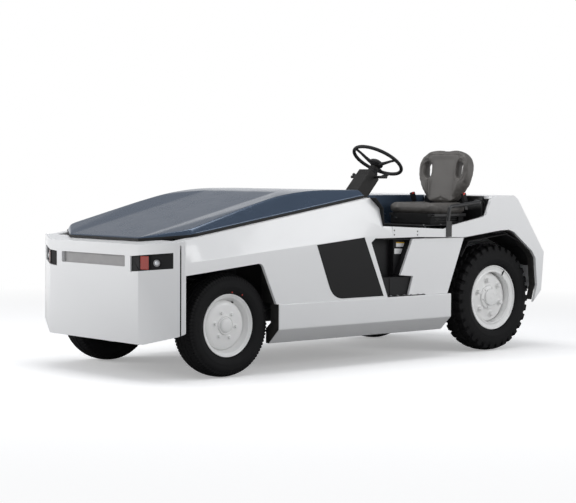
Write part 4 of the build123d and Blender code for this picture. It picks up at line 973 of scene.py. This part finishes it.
def buildStudio():
    half = studio["floorHalf"]
    mesh = bpy.data.meshes.new("floor")
    corners = [(-half, -half, 0), (half, -half, 0), (half, half, 0), (-half, half, 0)]
    mesh.from_pydata(corners, [], [(0, 1, 2, 3)])
    floor = linkNew("floor", mesh)
    f = Finish("studio floor")
    speck = f.noise(3.0, 4.0)
    shade = studio["floorShade"]
    f.set(base_color=f.shade(speck, (shade * 0.99,) * 3, (shade,) * 3), roughness=0.9)
    lift = f.node("ShaderNodeEmission", {}, {0: (1, 1, 1, 1), 1: studio["floorLift"]})[0]
    out = f.tree.nodes["Material Output"]
    total = f.tree.nodes.new("ShaderNodeAddShader")
    plain = f.tree.nodes.new("ShaderNodeMixShader")
    f.tree.links.new(f.shader.outputs[0], total.inputs[0])
    f.tree.links.new(lift.socket, total.inputs[1])
    f.tree.links.new(seenDirectly(f.tree), plain.inputs[0])
    bounce = f.node("ShaderNodeBsdfDiffuse", {}, {0: (studio["floorBounce"],) * 3 + (1,)})[0]
    f.tree.links.new(bounce.socket, plain.inputs[1])
    f.tree.links.new(total.outputs[0], plain.inputs[2])
    distance = f.node("ShaderNodeVectorMath", {"operation": "LENGTH"}, {0: f.place})[1]
    away = f.span(distance, *studio["floorFade"], 0.0, 1.0)
    fade = f.tree.nodes.new("ShaderNodeMixShader")
    white = f.node("ShaderNodeEmission", {}, {0: (1, 1, 1, 1), 1: 1.0})[0]
    f.tree.links.new(away.socket, fade.inputs[0])
    f.tree.links.new(plain.outputs[0], fade.inputs[1])
    f.tree.links.new(white.socket, fade.inputs[2])
    f.tree.links.new(fade.outputs[0], out.inputs[0])
    mesh.materials.append(f.material)
    world = bpy.data.worlds.new("studio")
    bpy.context.scene.world = world
    world.use_nodes = True
    tree = world.node_tree
    tree.nodes.clear()
    # Sky seen in reflections and bounces is bright at the horizon and darker upward; the camera sees white.
    shades = []
    for shade in (studio["horizonShade"], studio["skyShade"], studio["whiteShade"]):
        back = tree.nodes.new("ShaderNodeBackground")
        back.inputs[0].default_value = shade + (1,)
        shades.append(back.outputs[0])
    split = tree.nodes.new("ShaderNodeSeparateXYZ")
    tree.links.new(tree.nodes.new("ShaderNodeTexCoord").outputs["Generated"], split.inputs[0])
    height = tree.nodes.new("ShaderNodeMapRange")
    height.interpolation_type = "SMOOTHSTEP"
    height.inputs[1].default_value, height.inputs[2].default_value = studio["horizonBand"]
    tree.links.new(split.outputs[2], height.inputs[0])
    dome, mix = (tree.nodes.new("ShaderNodeMixShader") for side in range(2))
    tree.links.new(height.outputs[0], dome.inputs[0])
    tree.links.new(shades[0], dome.inputs[1])
    tree.links.new(shades[1], dome.inputs[2])
    tree.links.new(seenDirectly(tree), mix.inputs[0])
    tree.links.new(dome.outputs[0], mix.inputs[1])
    tree.links.new(shades[2], mix.inputs[2])
    tree.links.new(mix.outputs[0], tree.nodes.new("ShaderNodeOutputWorld").inputs[0])
    for name, place, aim, width, height, watts in studio["lamps"]:
        light = bpy.data.lights.new(name, "AREA")
        light.shape = "RECTANGLE"
        light.size = width
        light.size_y = height
        light.energy = watts
        lamp = linkNew(name, light)
        lamp.location = place
        lamp.rotation_euler = (Vector(aim) - Vector(place)).to_track_quat("-Z", "Y").to_euler()
    data = bpy.data.cameras.new("viewpoint")
    data.lens = studio["lens"]
    data.sensor_width = 36.0
    data.clip_end = 200.0
    eye = linkNew("viewpoint", data)
    yaw, pitch, roll = (math.radians(studio[k]) for k in ("yaw", "pitch", "roll"))
    ahead = Vector((math.cos(pitch) * math.cos(yaw), math.cos(pitch) * math.sin(yaw), math.sin(pitch)))
    right = Vector((math.sin(yaw), -math.cos(yaw), 0))
    up = right.cross(ahead)
    tiltedRight = math.cos(roll) * right + math.sin(roll) * up
    tiltedUp = math.cos(roll) * up - math.sin(roll) * right
    turned = Matrix((tiltedRight, tiltedUp, -ahead)).transposed().to_4x4()
    eye.matrix_world = Matrix.Translation(studio["eye"]) @ turned
    bpy.context.scene.camera = eye
    bpy.context.scene.view_settings.view_transform = "Standard"
    print("studio built")


buildStudio()
